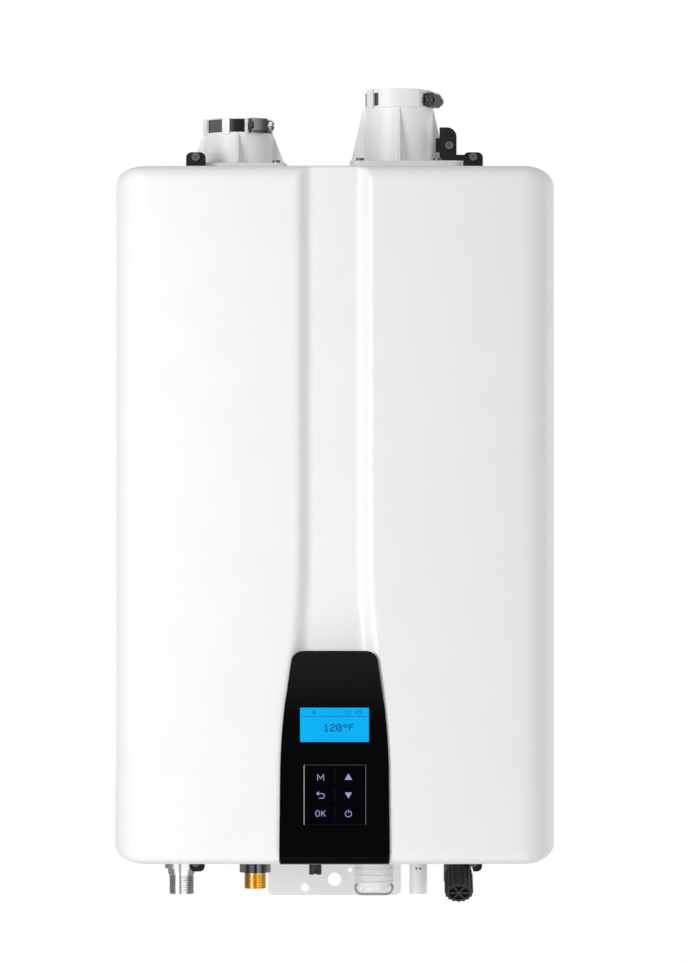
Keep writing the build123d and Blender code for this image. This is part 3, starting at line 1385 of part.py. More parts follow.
# Fan: scroll housing, wheel on its shaft, motor in front
fan_top_z = FAN_Z + FAN_R
duct_low_z = fan_top_z - FAN_OUT_H
fan_out_end = EX_LEFT_X
scroll = rod((FAN_X, FAN_Y1, FAN_Z), (FAN_X, FAN_Y0, FAN_Z), FAN_R)
scroll += box(FAN_X, fan_out_end, FAN_Y1, FAN_Y0, duct_low_z, fan_top_z)
inner_y0 = FAN_Y0 - FAN_WALL
inner_y1 = FAN_Y1 + FAN_WALL
scroll -= rod((FAN_X, inner_y1, FAN_Z), (FAN_X, inner_y0, FAN_Z), FAN_R - FAN_WALL)
scroll -= box(
    FAN_X, fan_out_end + CUT, inner_y1, inner_y0, duct_low_z + FAN_WALL, fan_top_z - FAN_WALL
)
flange_x = fan_out_end - FAN_FLANGE_T
flange = box(
    flange_x,
    fan_out_end,
    FAN_Y1 - FAN_FLANGE,
    FAN_Y0 + FAN_FLANGE,
    duct_low_z - FAN_FLANGE,
    fan_top_z,
)
flange -= box(
    flange_x - CUT,
    fan_out_end + CUT,
    inner_y1,
    inner_y0,
    duct_low_z + FAN_WALL,
    fan_top_z - FAN_WALL,
)
scroll += flange
scroll -= rod((FAN_X, inner_y0 - CUT, FAN_Z), (FAN_X, FAN_Y0 + CUT, FAN_Z), FAN_INLET_R)
scroll -= rod((FAN_X, FAN_Y1 - CUT, FAN_Z), (FAN_X, inner_y1 + CUT, FAN_Z), WHEEL_HUB_R)
save("fan_housing", scroll)

wheel_front_y = inner_y1 + WHEEL_GAP
wheel_back_y = inner_y0 - WHEEL_GAP
impeller = rod((FAN_X, wheel_front_y, FAN_Z), (FAN_X, wheel_front_y + WHEEL_DISC_T, FAN_Z), WHEEL_R)
impeller += rod((FAN_X, wheel_front_y, FAN_Z), (FAN_X, wheel_back_y, FAN_Z), WHEEL_HUB_R - WHEEL_GAP)
for index in range(BLADE_COUNT):
    blade = box(
        -BLADE_T / 2,
        BLADE_T / 2,
        wheel_front_y,
        wheel_back_y,
        -BLADE_LENGTH / 2,
        BLADE_LENGTH / 2,
    )
    blade = Pos(0, 0, WHEEL_R - BLADE_LENGTH / 2) * Rot(0, BLADE_LEAN, 0) * blade
    impeller += Pos(FAN_X, 0, FAN_Z) * Rot(0, index * 360 / BLADE_COUNT, 0) * blade
back_ring = tube(
    (FAN_X, wheel_back_y - WHEEL_DISC_T, FAN_Z),
    (FAN_X, wheel_back_y, FAN_Z),
    WHEEL_R,
    WHEEL_R - BLADE_LENGTH,
)
impeller += back_ring
shaft_end_y = FAN_Y1 - MOTOR_D / 2
impeller += rod((FAN_X, shaft_end_y, FAN_Z), (FAN_X, wheel_front_y, FAN_Z), FAN_SHAFT_R)
save("fan_impeller", impeller)

fan_motor = rod((FAN_X, FAN_Y1 - MOTOR_D, FAN_Z), (FAN_X, FAN_Y1, FAN_Z), MOTOR_R)
motor_rim = fan_motor.edges().filter_by(GeomType.CIRCLE).group_by(Axis.Y)[0]
fan_motor = fillet(motor_rim, FAN_FLANGE)
fan_motor -= rod((FAN_X, shaft_end_y - CUT, FAN_Z), (FAN_X, FAN_Y1 + CUT, FAN_Z), FAN_SHAFT_R + FIT)
save("fan_motor", fan_motor)


# Venturi body behind the fan's inlet, with its damper flap across the bore
venturi_body = rod((FAN_X, FAN_Y0, FAN_Z), (FAN_X, VENTURI_END_Y, FAN_Z), VENTURI_R)
venturi_body += rod((FAN_X, FAN_Y0, FAN_Z), (FAN_X, FAN_Y0 + FAN_FLANGE_T, FAN_Z), VENTURI_FLANGE_R)
gas_port_low = FAN_Z - VENTURI_R - GAS_PIPE_R
port_y = (FAN_Y0 + DAMPER_Y) / 2
venturi_body += rod((FAN_X, port_y, gas_port_low), (FAN_X, port_y, FAN_Z), GAS_PIPE_R + FAN_WALL)
motor_left = FAN_X - VENTURI_R - DAMPER_MOTOR_W
venturi_body += box(
    motor_left,
    FAN_X - VENTURI_BORE_R - FAN_WALL,
    DAMPER_Y - DAMPER_MOTOR_H / 2,
    DAMPER_Y + DAMPER_MOTOR_H / 2,
    FAN_Z - DAMPER_MOTOR_H / 2,
    FAN_Z + DAMPER_MOTOR_H / 2,
)
venturi_body -= rod((FAN_X, FAN_Y0 - CUT, FAN_Z), (FAN_X, VENTURI_END_Y + CUT, FAN_Z), VENTURI_BORE_R)
venturi_body -= rod(
    (FAN_X, port_y, gas_port_low - CUT), (FAN_X, port_y, FAN_Z), GAS_PIPE_R - GAS_PIPE_WALL
)
shaft_left = FAN_X - VENTURI_R - DAMPER_MOTOR_W / 2
shaft_right = FAN_X + VENTURI_R
venturi_body -= rod(
    (shaft_left - DAMPER_SHAFT_PLAY, DAMPER_Y, FAN_Z),
    (shaft_right + CUT, DAMPER_Y, FAN_Z),
    DAMPER_SHAFT_R + FIT,
)
bracket_z = FAN_Z + VENTURI_R
venturi_body += box(
    FAN_X - HANGER_W / 2,
    FAN_X + HANGER_W / 2,
    VENTURI_END_Y - FAN_FLANGE,
    CASE_REAR_Y - SHEET,
    bracket_z - FAN_FLANGE_T,
    bracket_z,
)
save("venturi_body", venturi_body)

flap_r = VENTURI_BORE_R - DAMPER_GAP
damper_flap = rod((FAN_X, DAMPER_Y - DAMPER_T / 2, FAN_Z), (FAN_X, DAMPER_Y + DAMPER_T / 2, FAN_Z), flap_r)
damper_flap += rod((shaft_left, DAMPER_Y, FAN_Z), (shaft_right, DAMPER_Y, FAN_Z), DAMPER_SHAFT_R)
save("damper_flap", damper_flap)


# Gas train: brass inlet with its nut, valve with two coils, pipes
gas_low_z = CASE_BOTTOM_Z - GAS_DROP
nut_low_z = CASE_BOTTOM_Z - GAS_NUT_DROP
gas_thread_z = nut_low_z - RELIEF_L
gas_fitting = rod((GAS_X, FITTING_Y, gas_low_z), (GAS_X, FITTING_Y, gas_thread_z), GAS_R)
gas_fitting += rod((GAS_X, FITTING_Y, gas_thread_z), (GAS_X, FITTING_Y, nut_low_z), GAS_R - RELIEF_DEPTH)
gas_fitting += rod((GAS_X, FITTING_Y, nut_low_z), (GAS_X, FITTING_Y, GAS_FITTING_TOP_Z), GAS_BODY_R)
gas_fitting -= rod(
    (GAS_X, FITTING_Y, gas_low_z - CUT), (GAS_X, FITTING_Y, GAS_FITTING_TOP_Z + CUT), GAS_BORE_R
)
save("gas_inlet_fitting", gas_fitting)

gas_nut_top_z = CASE_OUT_BOTTOM_Z
nut_outline = RegularPolygon(GAS_NUT_R, 6) - Circle(GAS_BODY_R)
gas_lock_nut = Pos(GAS_X, FITTING_Y, nut_low_z) * extrude(nut_outline, gas_nut_top_z - nut_low_z)
save("gas_lock_nut", gas_lock_nut)

gas_valve = box(
    GAS_X - GAS_VALVE_W / 2,
    GAS_X + GAS_VALVE_W / 2,
    FITTING_Y - GAS_VALVE_D / 2,
    FITTING_Y + GAS_VALVE_D / 2,
    GAS_VALVE_BOTTOM_Z,
    GAS_VALVE_TOP_Z,
)
gas_valve = fillet(gas_valve.edges().filter_by(Axis.Z), FAN_FLANGE)
valve_front_y = FITTING_Y - GAS_VALVE_D / 2
for share in COIL_PLACE_SHARES:
    coil_z = GAS_VALVE_BOTTOM_Z + share * (GAS_VALVE_TOP_Z - GAS_VALVE_BOTTOM_Z)
    gas_valve += rod(
        (GAS_X, valve_front_y - SOLENOID_H, coil_z), (GAS_X, valve_front_y, coil_z), SOLENOID_R
    )
gas_valve += box(
    GAS_X - HANGER_W / 2,
    GAS_X + HANGER_W / 2,
    FITTING_Y + GAS_VALVE_D / 2,
    CASE_REAR_Y - SHEET,
    GAS_VALVE_TOP_Z - HANGER_W,
    GAS_VALVE_TOP_Z - HANGER_W + FAN_FLANGE_T,
)
save("gas_valve", gas_valve)

gas_bend = 3 * GAS_PIPE_R
upper_route = (
    (GAS_X, FITTING_Y, GAS_VALVE_TOP_Z),
    (GAS_X, FITTING_Y, GAS_VALVE_TOP_Z + 2 * gas_bend),
    (FAN_X, port_y, gas_port_low - 2 * gas_bend),
    (FAN_X, port_y, gas_port_low),
)
gas_pipe = Part() + bent_pipe(upper_route, GAS_PIPE_R, GAS_PIPE_WALL, gas_bend)
gas_pipe += tube(
    (GAS_X, FITTING_Y, GAS_FITTING_TOP_Z),
    (GAS_X, FITTING_Y, GAS_VALVE_BOTTOM_Z),
    GAS_PIPE_R,
    GAS_PIPE_R - GAS_PIPE_WALL,
)
save("gas_pipe", gas_pipe)


# Hot outlet: silver fitting under the case and the pipe from the primary exchanger
hot_low_z = CASE_BOTTOM_Z - HOT_DROP
hot_hex_low_z = CASE_BOTTOM_Z - HOT_HEX_DROP
hot_taper_z = CASE_BOTTOM_Z - HOT_TAPER_DROP
hot_fitting = rod((HOT_X, FITTING_Y, hot_low_z), (HOT_X, FITTING_Y, HOT_TOP_Z), HOT_R)
hexagon = RegularPolygon(HOT_HEX_R, 6)
hot_fitting += Pos(HOT_X, FITTING_Y, hot_hex_low_z) * extrude(hexagon, CASE_OUT_BOTTOM_Z - hot_hex_low_z)
taper_h = hot_hex_low_z - hot_taper_z
taper_mid_z = (hot_hex_low_z + hot_taper_z) / 2
taper_top_r = HOT_HEX_R * math.cos(math.radians(30))
hot_fitting += Pos(HOT_X, FITTING_Y, taper_mid_z) * Cone(HOT_R, taper_top_r, taper_h)
hot_fitting -= rod((HOT_X, FITTING_Y, hot_low_z - CUT), (HOT_X, FITTING_Y, HOT_TOP_Z + CUT), HOT_BORE_R)
save("hot_outlet_fitting", hot_fitting)

hot_route = (
    (EX_LEFT_X, HOT_EXIT_Y, HOT_EXIT_Z),
    (HOT_X, HOT_EXIT_Y, HOT_EXIT_Z),
    (HOT_X, FITTING_Y, HOT_BACK_Z),
    (HOT_X, FITTING_Y, HOT_TOP_Z),
)
save("hot_pipe", bent_pipe(hot_route, WATER_PIPE_R, WATER_PIPE_WALL, PIPE_BEND))


# Cold inlet: housing with a slanted filter branch, strainer and ribbed cap
def on_slant(distance):
    """Point on the filter's axis, measured outwards from the cap's start."""
    return (COLD_X, CAP_START_Y - distance * SLANT_SHARE, CAP_START_Z - distance * SLANT_SHARE)


branch_run = (COLD_Y - CAP_START_Y) / SLANT_SHARE
cold_low_z = CASE_BOTTOM_Z - COLD_DROP
cold_thread_z = cold_low_z + COLD_THREAD_L
cold_neck_z = cold_thread_z + RELIEF_L
inlet_housing = rod((COLD_X, COLD_Y, cold_low_z), (COLD_X, COLD_Y, cold_thread_z), COLD_R)
inlet_housing += rod((COLD_X, COLD_Y, cold_thread_z), (COLD_X, COLD_Y, cold_neck_z), COLD_R - RELIEF_DEPTH)
inlet_housing += rod((COLD_X, COLD_Y, cold_neck_z), (COLD_X, COLD_Y, CASE_IN_BOTTOM_Z), COLD_NECK_R)
inlet_housing += rod((COLD_X, COLD_Y, CASE_IN_BOTTOM_Z), (COLD_X, COLD_Y, INLET_TOP_Z), INLET_BODY_R)
inlet_housing += rod(on_slant(-branch_run), on_slant(-GAP), BRANCH_R)
flange_half_w = inlet_hole_half_w + FAN_FLANGE
inlet_housing += box(
    COLD_X - flange_half_w,
    COLD_X + flange_half_w,
    inlet_hole_front - FAN_FLANGE / 2,
    inlet_hole_back + FAN_FLANGE,
    CASE_IN_BOTTOM_Z,
    CASE_IN_BOTTOM_Z + FAN_FLANGE_T,
)
inlet_housing -= rod((COLD_X, COLD_Y, cold_low_z - CUT), (COLD_X, COLD_Y, INLET_TOP_Z + CUT), COLD_BORE_R)
inlet_housing -= rod(on_slant(-branch_run), on_slant(CUT), BRANCH_BORE_R)
save("inlet_housing", inlet_housing)

strainer_start = -STRAINER_LENGTH - STRAINER_STEM
strainer = tube(on_slant(strainer_start), on_slant(-STRAINER_STEM), STRAINER_R, STRAINER_BORE_R)
for index in range(STRAINER_BAR_COUNT):
    angle = 360 * (index + 0.5) / STRAINER_BAR_COUNT
    mid = on_slant(-STRAINER_STEM - STRAINER_LENGTH / 2)
    plane = Plane(origin=mid, x_dir=(1, 0, 0), z_dir=(0, -1, -1))
    gap_w = 2 * math.pi * STRAINER_BORE_R / STRAINER_BAR_COUNT - STRAINER_BAR_T
    window = Pos(STRAINER_R, 0, 0) * Box(STRAINER_R, gap_w, STRAINER_LENGTH - 2 * STRAINER_RING_H)
    strainer -= plane.location * (Rot(0, 0, angle) * window)
strainer += rod(on_slant(-STRAINER_STEM - STRAINER_RING_H), on_slant(-STRAINER_STEM), STRAINER_BORE_R)
strainer += rod(on_slant(-STRAINER_STEM), on_slant(CAP_LENGTH / 3), CAP_BORE_R - FIT)
save("filter_strainer", strainer)

filter_cap = rod(on_slant(0), on_slant(CAP_LENGTH), CAP_R - CAP_RIB_R)
cap_plane = Plane(origin=on_slant(0), x_dir=(1, 0, 0), z_dir=(0, -1, -1))
for index in range(CAP_RIB_COUNT):
    angle = 360 * index / CAP_RIB_COUNT
    rib = Pos(CAP_R - CAP_RIB_R, 0) * Circle(CAP_RIB_R)
    filter_cap += extrude(cap_plane * (Rot(0, 0, angle) * rib), CAP_LENGTH)
recess = rod(on_slant(CAP_LENGTH - CAP_RECESS_DEPTH), on_slant(CAP_LENGTH + CUT), CAP_RECESS_R)
web_mid = on_slant(CAP_LENGTH - CAP_RECESS_DEPTH / 2)
web_plane = Plane(origin=web_mid, x_dir=(1, 0, 0), z_dir=(0, -1, -1))
for angle in (0, 60, 120):
    web = Box(2 * CAP_RECESS_R, CAP_WEB_T, 3 * CAP_RECESS_DEPTH)
    recess -= web_plane.location * (Rot(0, 0, angle) * web)
filter_cap -= recess
filter_cap -= rod(on_slant(-CUT), on_slant(CAP_LENGTH / 3 + GAP), CAP_BORE_R)
save("filter_cap", filter_cap)


# Flow sensor with its turbine, and the water valve above it
flow_sensor = rod((COLD_X, COLD_Y, INLET_TOP_Z), (COLD_X, COLD_Y, SENSOR_TOP_Z), SENSOR_R)
flow_sensor += box(
    COLD_X - SENSOR_R,
    COLD_X + SENSOR_R,
    COLD_Y - SENSOR_R - FAN_FLANGE,
    COLD_Y,
    INLET_TOP_Z + FAN_FLANGE,
    SENSOR_TOP_Z - FAN_FLANGE,
)
bore_r = TURBINE_R + TURBINE_GAP
flow_sensor -= rod((COLD_X, COLD_Y, INLET_TOP_Z - CUT), (COLD_X, COLD_Y, SENSOR_TOP_Z + CUT), bore_r)
turbine_mid_z = (INLET_TOP_Z + SENSOR_TOP_Z) / 2
spider_offset = TURBINE_H / 2 + TURBINE_GAP + SPIDER_T / 2
for side in (-1, 1):
    spider_z = turbine_mid_z + side * spider_offset
    low_z = spider_z - SPIDER_T / 2
    high_z = spider_z + SPIDER_T / 2
    flow_sensor += box(
        COLD_X - SENSOR_R + TURBINE_GAP,
        COLD_X + SENSOR_R - TURBINE_GAP,
        COLD_Y - SPIDER_T / 2,
        COLD_Y + SPIDER_T / 2,
        low_z,
        high_z,
    )
    flow_sensor += rod((COLD_X, COLD_Y, low_z), (COLD_X, COLD_Y, high_z), TURBINE_HUB_R)
shaft_half = spider_offset + SPIDER_T / 2
flow_sensor -= rod(
    (COLD_X, COLD_Y, turbine_mid_z - shaft_half - CUT),
    (COLD_X, COLD_Y, turbine_mid_z + shaft_half + CUT),
    TURBINE_SHAFT_R + FIT,
)
save("flow_sensor", flow_sensor)

turbine = rod(
    (COLD_X, COLD_Y, turbine_mid_z - TURBINE_H / 2),
    (COLD_X, COLD_Y, turbine_mid_z + TURBINE_H / 2),
    TURBINE_HUB_R,
)
turbine += rod(
    (COLD_X, COLD_Y, turbine_mid_z - shaft_half),
    (COLD_X, COLD_Y, turbine_mid_z + shaft_half),
    TURBINE_SHAFT_R,
)
for index in range(TURBINE_BLADES):
    blade = Box(TURBINE_R - TURBINE_HUB_R / 2, TURBINE_BLADE_T, TURBINE_H)
    blade = Pos((TURBINE_R + TURBINE_HUB_R / 2) / 2, 0, 0) * Rot(30, 0, 0) * blade
    blade &= Cylinder(TURBINE_R, TURBINE_H)
    turbine += Pos(COLD_X, COLD_Y, turbine_mid_z) * Rot(0, 0, index * 360 / TURBINE_BLADES) * blade
save("flow_turbine", turbine)

water_valve = rod((COLD_X, COLD_Y, SENSOR_TOP_Z), (COLD_X, COLD_Y, VALVE_TOP_Z), VALVE_R)
valve_mid_z = (SENSOR_TOP_Z + VALVE_TOP_Z) / 2
water_valve += rod(
    (COLD_X - VALVE_R - VALVE_MOTOR_L, COLD_Y, valve_mid_z), (COLD_X, COLD_Y, valve_mid_z), VALVE_MOTOR_R
)
water_valve -= rod((COLD_X, COLD_Y, SENSOR_TOP_Z - CUT), (COLD_X, COLD_Y, VALVE_TOP_Z + CUT), COLD_BORE_R)
save("water_valve", water_valve)

cold_port_z = EX_BOTTOM_Z + COLD_PORT_UP
cold_turn_z = tray_low_z - COLD_PIPE_UP / 2
cold_route = (
    (COLD_X, COLD_Y, VALVE_TOP_Z),
    (COLD_X, COLD_Y, cold_turn_z - COLD_PIPE_UP / 2),
    (EX_RIGHT_X + COLD_PIPE_REACH, COLD_Y, cold_turn_z + COLD_PIPE_UP / 2),
    (EX_RIGHT_X + COLD_PIPE_REACH, COLD_Y, cold_port_z),
    (EX_RIGHT_X, COLD_Y, cold_port_z),
)
save("cold_pipe", bent_pipe(cold_route, WATER_PIPE_R, WATER_PIPE_WALL, WATER_PIPE_R + CUT))


# Condensate trap with its wire bail, and the drain tube
trap_main_z = CASE_BOTTOM_Z - TRAP_MAIN_DROP
trap_rim_z = CASE_BOTTOM_Z - TRAP_RIM_DROP
trap_end_z = CASE_BOTTOM_Z - TRAP_END_DROP
trap_axis = (TRAP_X, FITTING_Y)
condensate_trap = rod((*trap_axis, trap_main_z), (*trap_axis, TRAP_TOP_Z), TRAP_R)
condensate_trap += rod((*trap_axis, trap_rim_z), (*trap_axis, trap_main_z), TRAP_RIM_R)
condensate_trap += rod((*trap_axis, trap_end_z), (*trap_axis, trap_rim_z), TRAP_END_R)
for index in range(TRAP_RING_COUNT):
    ring_z = trap_main_z + TRAP_RING_STEP * index
    condensate_trap += rod((*trap_axis, ring_z), (*trap_axis, ring_z + TRAP_RING_H), TRAP_RING_R)
condensate_trap -= rod(
    (*trap_axis, trap_main_z + TRAP_WALL), (*trap_axis, TRAP_TOP_Z - TRAP_WALL), TRAP_R - TRAP_WALL
)
condensate_trap -= rod(
    (*trap_axis, TRAP_TOP_Z - TRAP_WALL - CUT), (*trap_axis, TRAP_TOP_Z + CUT), DRAIN_R - DRAIN_WALL
)
bail_pivot_z = CASE_BOTTOM_Z - BAIL_PIVOT_DROP
condensate_trap -= rod(
    (TRAP_X - TRAP_R, FITTING_Y, bail_pivot_z),
    (TRAP_X - BAIL_PIN_END + GAP, FITTING_Y, bail_pivot_z),
    BAIL_WIRE_R + FIT,
)
condensate_trap -= rod(
    (TRAP_X + BAIL_PIN_END - GAP, FITTING_Y, bail_pivot_z),
    (TRAP_X + TRAP_R, FITTING_Y, bail_pivot_z),
    BAIL_WIRE_R + FIT,
)
save("condensate_trap", condensate_trap)

bail_low_z = CASE_BOTTOM_Z - BAIL_DROP
bail_points = (
    (TRAP_X - BAIL_PIN_END, FITTING_Y, bail_pivot_z),
    (TRAP_X - BAIL_HALF_W, FITTING_Y, bail_pivot_z),
    (TRAP_X - BAIL_HALF_W, FITTING_Y, bail_low_z),
    (TRAP_X + BAIL_HALF_W, FITTING_Y, bail_low_z),
    (TRAP_X + BAIL_HALF_W, FITTING_Y, bail_pivot_z),
    (TRAP_X + BAIL_PIN_END, FITTING_Y, bail_pivot_z),
)
pin_bend = 2 * BAIL_WIRE_R
bail_radii = (pin_bend, BAIL_CORNER_R, BAIL_CORNER_R, pin_bend)
bail_path = FilletPolyline(*bail_points, radius=bail_radii)
bail_plane = Plane(origin=bail_points[0], z_dir=(-1, 0, 0))
save("trap_bail", sweep(bail_plane * Circle(BAIL_WIRE_R), path=bail_path))

drain_low_z = CASE_BOTTOM_Z - DRAIN_TUBE_DROP
drain_route = (
    (TRAP_X + TRAP_R, FITTING_Y, DRAIN_TUBE_Z),
    (DRAIN_TUBE_X, FITTING_Y, DRAIN_TUBE_Z),
    (DRAIN_TUBE_X, FITTING_Y, drain_low_z),
)
condensate_tube = bent_pipe(drain_route, DRAIN_BEND_R, DRAIN_TUBE_WALL, DRAIN_TUBE_R + CUT)
condensate_tube += tube(
    (DRAIN_TUBE_X, FITTING_Y, drain_low_z),
    (DRAIN_TUBE_X, FITTING_Y, CASE_BOTTOM_Z - DRAIN_TAIL_GAP),
    DRAIN_TUBE_R,
    DRAIN_BEND_R - DRAIN_TUBE_WALL,
)
condensate_tube -= rod(
    (TRAP_X, FITTING_Y, DRAIN_TUBE_Z + TRAP_R), (TRAP_X, FITTING_Y, DRAIN_TUBE_Z - TRAP_R), TRAP_R
)
vent_z = CASE_BOTTOM_Z - DRAIN_VENT_DROP
for side in (-1, 1):
    vent_x = DRAIN_TUBE_X + side * DRAIN_VENT_X
    condensate_tube -= rod(
        (vent_x, FITTING_Y - DRAIN_TUBE_R - CUT, vent_z), (vent_x, FITTING_Y, vent_z), DRAIN_VENT_R
    )
save("condensate_tube", condensate_tube)


# Cable gland in the case's bottom
gland_low_z = CASE_BOTTOM_Z - GLAND_DROP
gland_top_z = CASE_IN_BOTTOM_Z + GLAND_FLANGE_T
cable_gland = rod((GLAND_X, FITTING_Y, gland_low_z), (GLAND_X, FITTING_Y, gland_top_z), GLAND_R)
cable_gland += rod((GLAND_X, FITTING_Y, CASE_IN_BOTTOM_Z), (GLAND_X, FITTING_Y, gland_top_z), GLAND_FLANGE_R)
cable_gland -= rod(
    (GLAND_X, FITTING_Y, gland_low_z - CUT), (GLAND_X, FITTING_Y, gland_top_z + CUT), GLAND_BORE_R
)
cable_gland -= box(
    GLAND_X - GLAND_NOTCH_W / 2,
    GLAND_X + GLAND_NOTCH_W / 2,
    FITTING_Y - GLAND_R - CUT,
    FITTING_Y,
    gland_low_z - CUT,
    gland_low_z + GLAND_NOTCH_H,
)
save("cable_gland", cable_gland)


# Control box on the cross rail, with its circuit board
control_box = box(BOX_X0, BOX_X1, BOX_FRONT_Y, RAIL_Y, BOX_BOTTOM_Z, BOX_TOP_Z)
control_box -= box(
    BOX_X0 + BOX_WALL,
    BOX_X1 - BOX_WALL,
    BOX_FRONT_Y + BOX_WALL,
    RAIL_Y - BOX_WALL,
    BOX_BOTTOM_Z + BOX_WALL,
    BOX_TOP_Z - BOX_WALL,
)
floor_y = RAIL_Y - BOX_WALL
boss_front_y = floor_y - BOX_BOSS_H
boss_inset = BOX_WALL + BOX_BOSS_INSET
for boss_x in (BOX_X0 + boss_inset, BOX_X1 - boss_inset):
    for boss_z in (BOX_BOTTOM_Z + boss_inset, BOX_TOP_Z - boss_inset):
        control_box += rod((boss_x, boss_front_y, boss_z), (boss_x, floor_y, boss_z), BOX_BOSS_R)
save("control_box", control_box)

board_front_y = boss_front_y - BOX_BOARD_T
control_board = box(
    BOX_X0 + BOX_BOARD_INSET,
    BOX_X1 - BOX_BOARD_INSET,
    board_front_y,
    boss_front_y,
    BOX_BOTTOM_Z + BOX_BOARD_INSET,
    BOX_TOP_Z - BOX_BOARD_INSET,
)
for (chip_w, chip_h, chip_d), (share_x, share_z) in zip(CHIP_SIZES, CHIP_SHARES):
    chip_x = BOX_X0 + share_x * (BOX_X1 - BOX_X0)
    chip_z = BOX_BOTTOM_Z + share_z * (BOX_TOP_Z - BOX_BOTTOM_Z)
    control_board += box(
        chip_x - chip_w / 2,
        chip_x + chip_w / 2,
        board_front_y - chip_d,
        board_front_y,
        chip_z - chip_h / 2,
        chip_z + chip_h / 2,
    )
save("control_board", control_board)


# Wiring harness from the control box up to the fan motor
wire_box_y = (BOX_FRONT_Y + RAIL_Y) / 2
wire_run_z = max(BOX_TOP_Z + 3 * WIRE_BEND, BEZEL_TOP_Z + WIRE_OVER_PANEL)
harness_route = (
    (BOX_X0 + boss_inset, wire_box_y, BOX_TOP_Z),
    (BOX_X0 + boss_inset, wire_box_y, wire_run_z),
    (FAN_X, wire_box_y, wire_run_z),
    (FAN_X, FAN_Y1 - MOTOR_D / 2, wire_run_z + 3 * WIRE_BEND),
    (FAN_X, FAN_Y1 - MOTOR_D / 2, FAN_Z - MOTOR_R),
)
harness_path = FilletPolyline(*harness_route, radius=WIRE_BEND)
harness_plane = Plane(origin=harness_route[0], z_dir=(0, 0, 1))
wiring_harness = sweep(harness_plane * Circle(WIRE_R), path=harness_path)
motor_clear = rod(
    (FAN_X, FAN_Y1 - MOTOR_D - CUT, FAN_Z), (FAN_X, FAN_Y1, FAN_Z), MOTOR_R
)
wiring_harness -= motor_clear
save("wiring_harness", wiring_harness)
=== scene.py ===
import math

import bmesh
import bpy
import numpy as np
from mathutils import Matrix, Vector


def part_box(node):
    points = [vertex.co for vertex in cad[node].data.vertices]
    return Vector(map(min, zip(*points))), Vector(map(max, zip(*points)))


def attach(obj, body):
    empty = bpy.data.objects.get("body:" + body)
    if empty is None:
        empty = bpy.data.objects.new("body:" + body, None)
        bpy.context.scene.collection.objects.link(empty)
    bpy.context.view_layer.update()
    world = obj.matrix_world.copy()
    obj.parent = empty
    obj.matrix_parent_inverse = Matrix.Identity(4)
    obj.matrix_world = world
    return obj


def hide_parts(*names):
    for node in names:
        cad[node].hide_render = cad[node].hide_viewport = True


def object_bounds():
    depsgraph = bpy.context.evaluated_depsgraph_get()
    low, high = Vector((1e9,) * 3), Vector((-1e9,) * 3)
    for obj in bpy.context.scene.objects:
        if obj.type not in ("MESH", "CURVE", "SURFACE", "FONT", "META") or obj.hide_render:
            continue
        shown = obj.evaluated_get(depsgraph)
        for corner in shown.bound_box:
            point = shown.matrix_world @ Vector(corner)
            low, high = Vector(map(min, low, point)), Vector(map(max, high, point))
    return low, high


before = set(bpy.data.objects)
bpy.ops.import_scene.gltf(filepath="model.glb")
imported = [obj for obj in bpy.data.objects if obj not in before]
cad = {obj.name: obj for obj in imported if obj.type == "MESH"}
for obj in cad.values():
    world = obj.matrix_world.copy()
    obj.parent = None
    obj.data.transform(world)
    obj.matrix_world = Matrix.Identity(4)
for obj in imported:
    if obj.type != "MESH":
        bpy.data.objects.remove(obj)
bounds_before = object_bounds()
scene = bpy.context.scene
scene.view_settings.view_transform = "Standard"

# Surround: plain white where the camera, a glossy face or clear glass looks at it.
# As a source of light it is a softer grey that grows brighter towards the right,
# so that the white casing keeps its shading.
SURROUND_LIGHT = 0.42
SIDE_SHARE = 0.8


def wire(tree, links):
    """Join nodes; each link names a node and its output, then a node and its input."""
    for source, output, target, entry in links:
        tree.links.new(source.outputs[output], target.inputs[entry])


world = bpy.data.worlds.new("white surround")
scene.world = world
world.use_nodes = True
tree = world.node_tree
tree.nodes.clear()
rays = tree.nodes.new("ShaderNodeLightPath")
seen = tree.nodes.new("ShaderNodeMath")
seen.operation = "MAXIMUM"
seen_or_clear = tree.nodes.new("ShaderNodeMath")
seen_or_clear.operation = "MAXIMUM"
towards = tree.nodes.new("ShaderNodeTexCoord")
parts = tree.nodes.new("ShaderNodeSeparateXYZ")
from_side = tree.nodes.new("ShaderNodeMath")
from_side.operation = "MULTIPLY_ADD"
from_side.inputs[1].default_value = SURROUND_LIGHT * SIDE_SHARE
from_side.inputs[2].default_value = SURROUND_LIGHT
level = tree.nodes.new("ShaderNodeMapRange")
level.inputs["To Max"].default_value = 1.0
glow = tree.nodes.new("ShaderNodeBackground")
glow.inputs["Color"].default_value = (1.0, 1.0, 1.0, 1.0)
sky_out = tree.nodes.new("ShaderNodeOutputWorld")
wire(tree, [
    (towards, "Generated", parts, "Vector"),
    (parts, "X", from_side, 0),
    (from_side, "Value", level, "To Min"),
    (rays, "Is Camera Ray", seen, 0),
    (rays, "Is Glossy Ray", seen, 1),
    (seen, "Value", seen_or_clear, 0),
    (rays, "Is Transmission Ray", seen_or_clear, 1),
    (seen_or_clear, "Value", level, "Value"),
    (level, "Result", glow, "Strength"),
    (glow, "Background", sky_out, "Surface"),
])

# Floor: a pale round sheet, far enough below the heater to leave low views clear.
# Its rim fades into the white surround.
FLOOR_Z = -2.7
FLOOR_RADIUS = 2.6
FLOOR_TONE = 0.90
FLOOR_SIDES = 96
FADE_START, FADE_END = 0.45, 0.97


def show(name, data):
    """Put a mesh, a lamp or a camera into the scene."""
    piece = bpy.data.objects.new(name, data)
    scene.collection.objects.link(piece)
    return piece


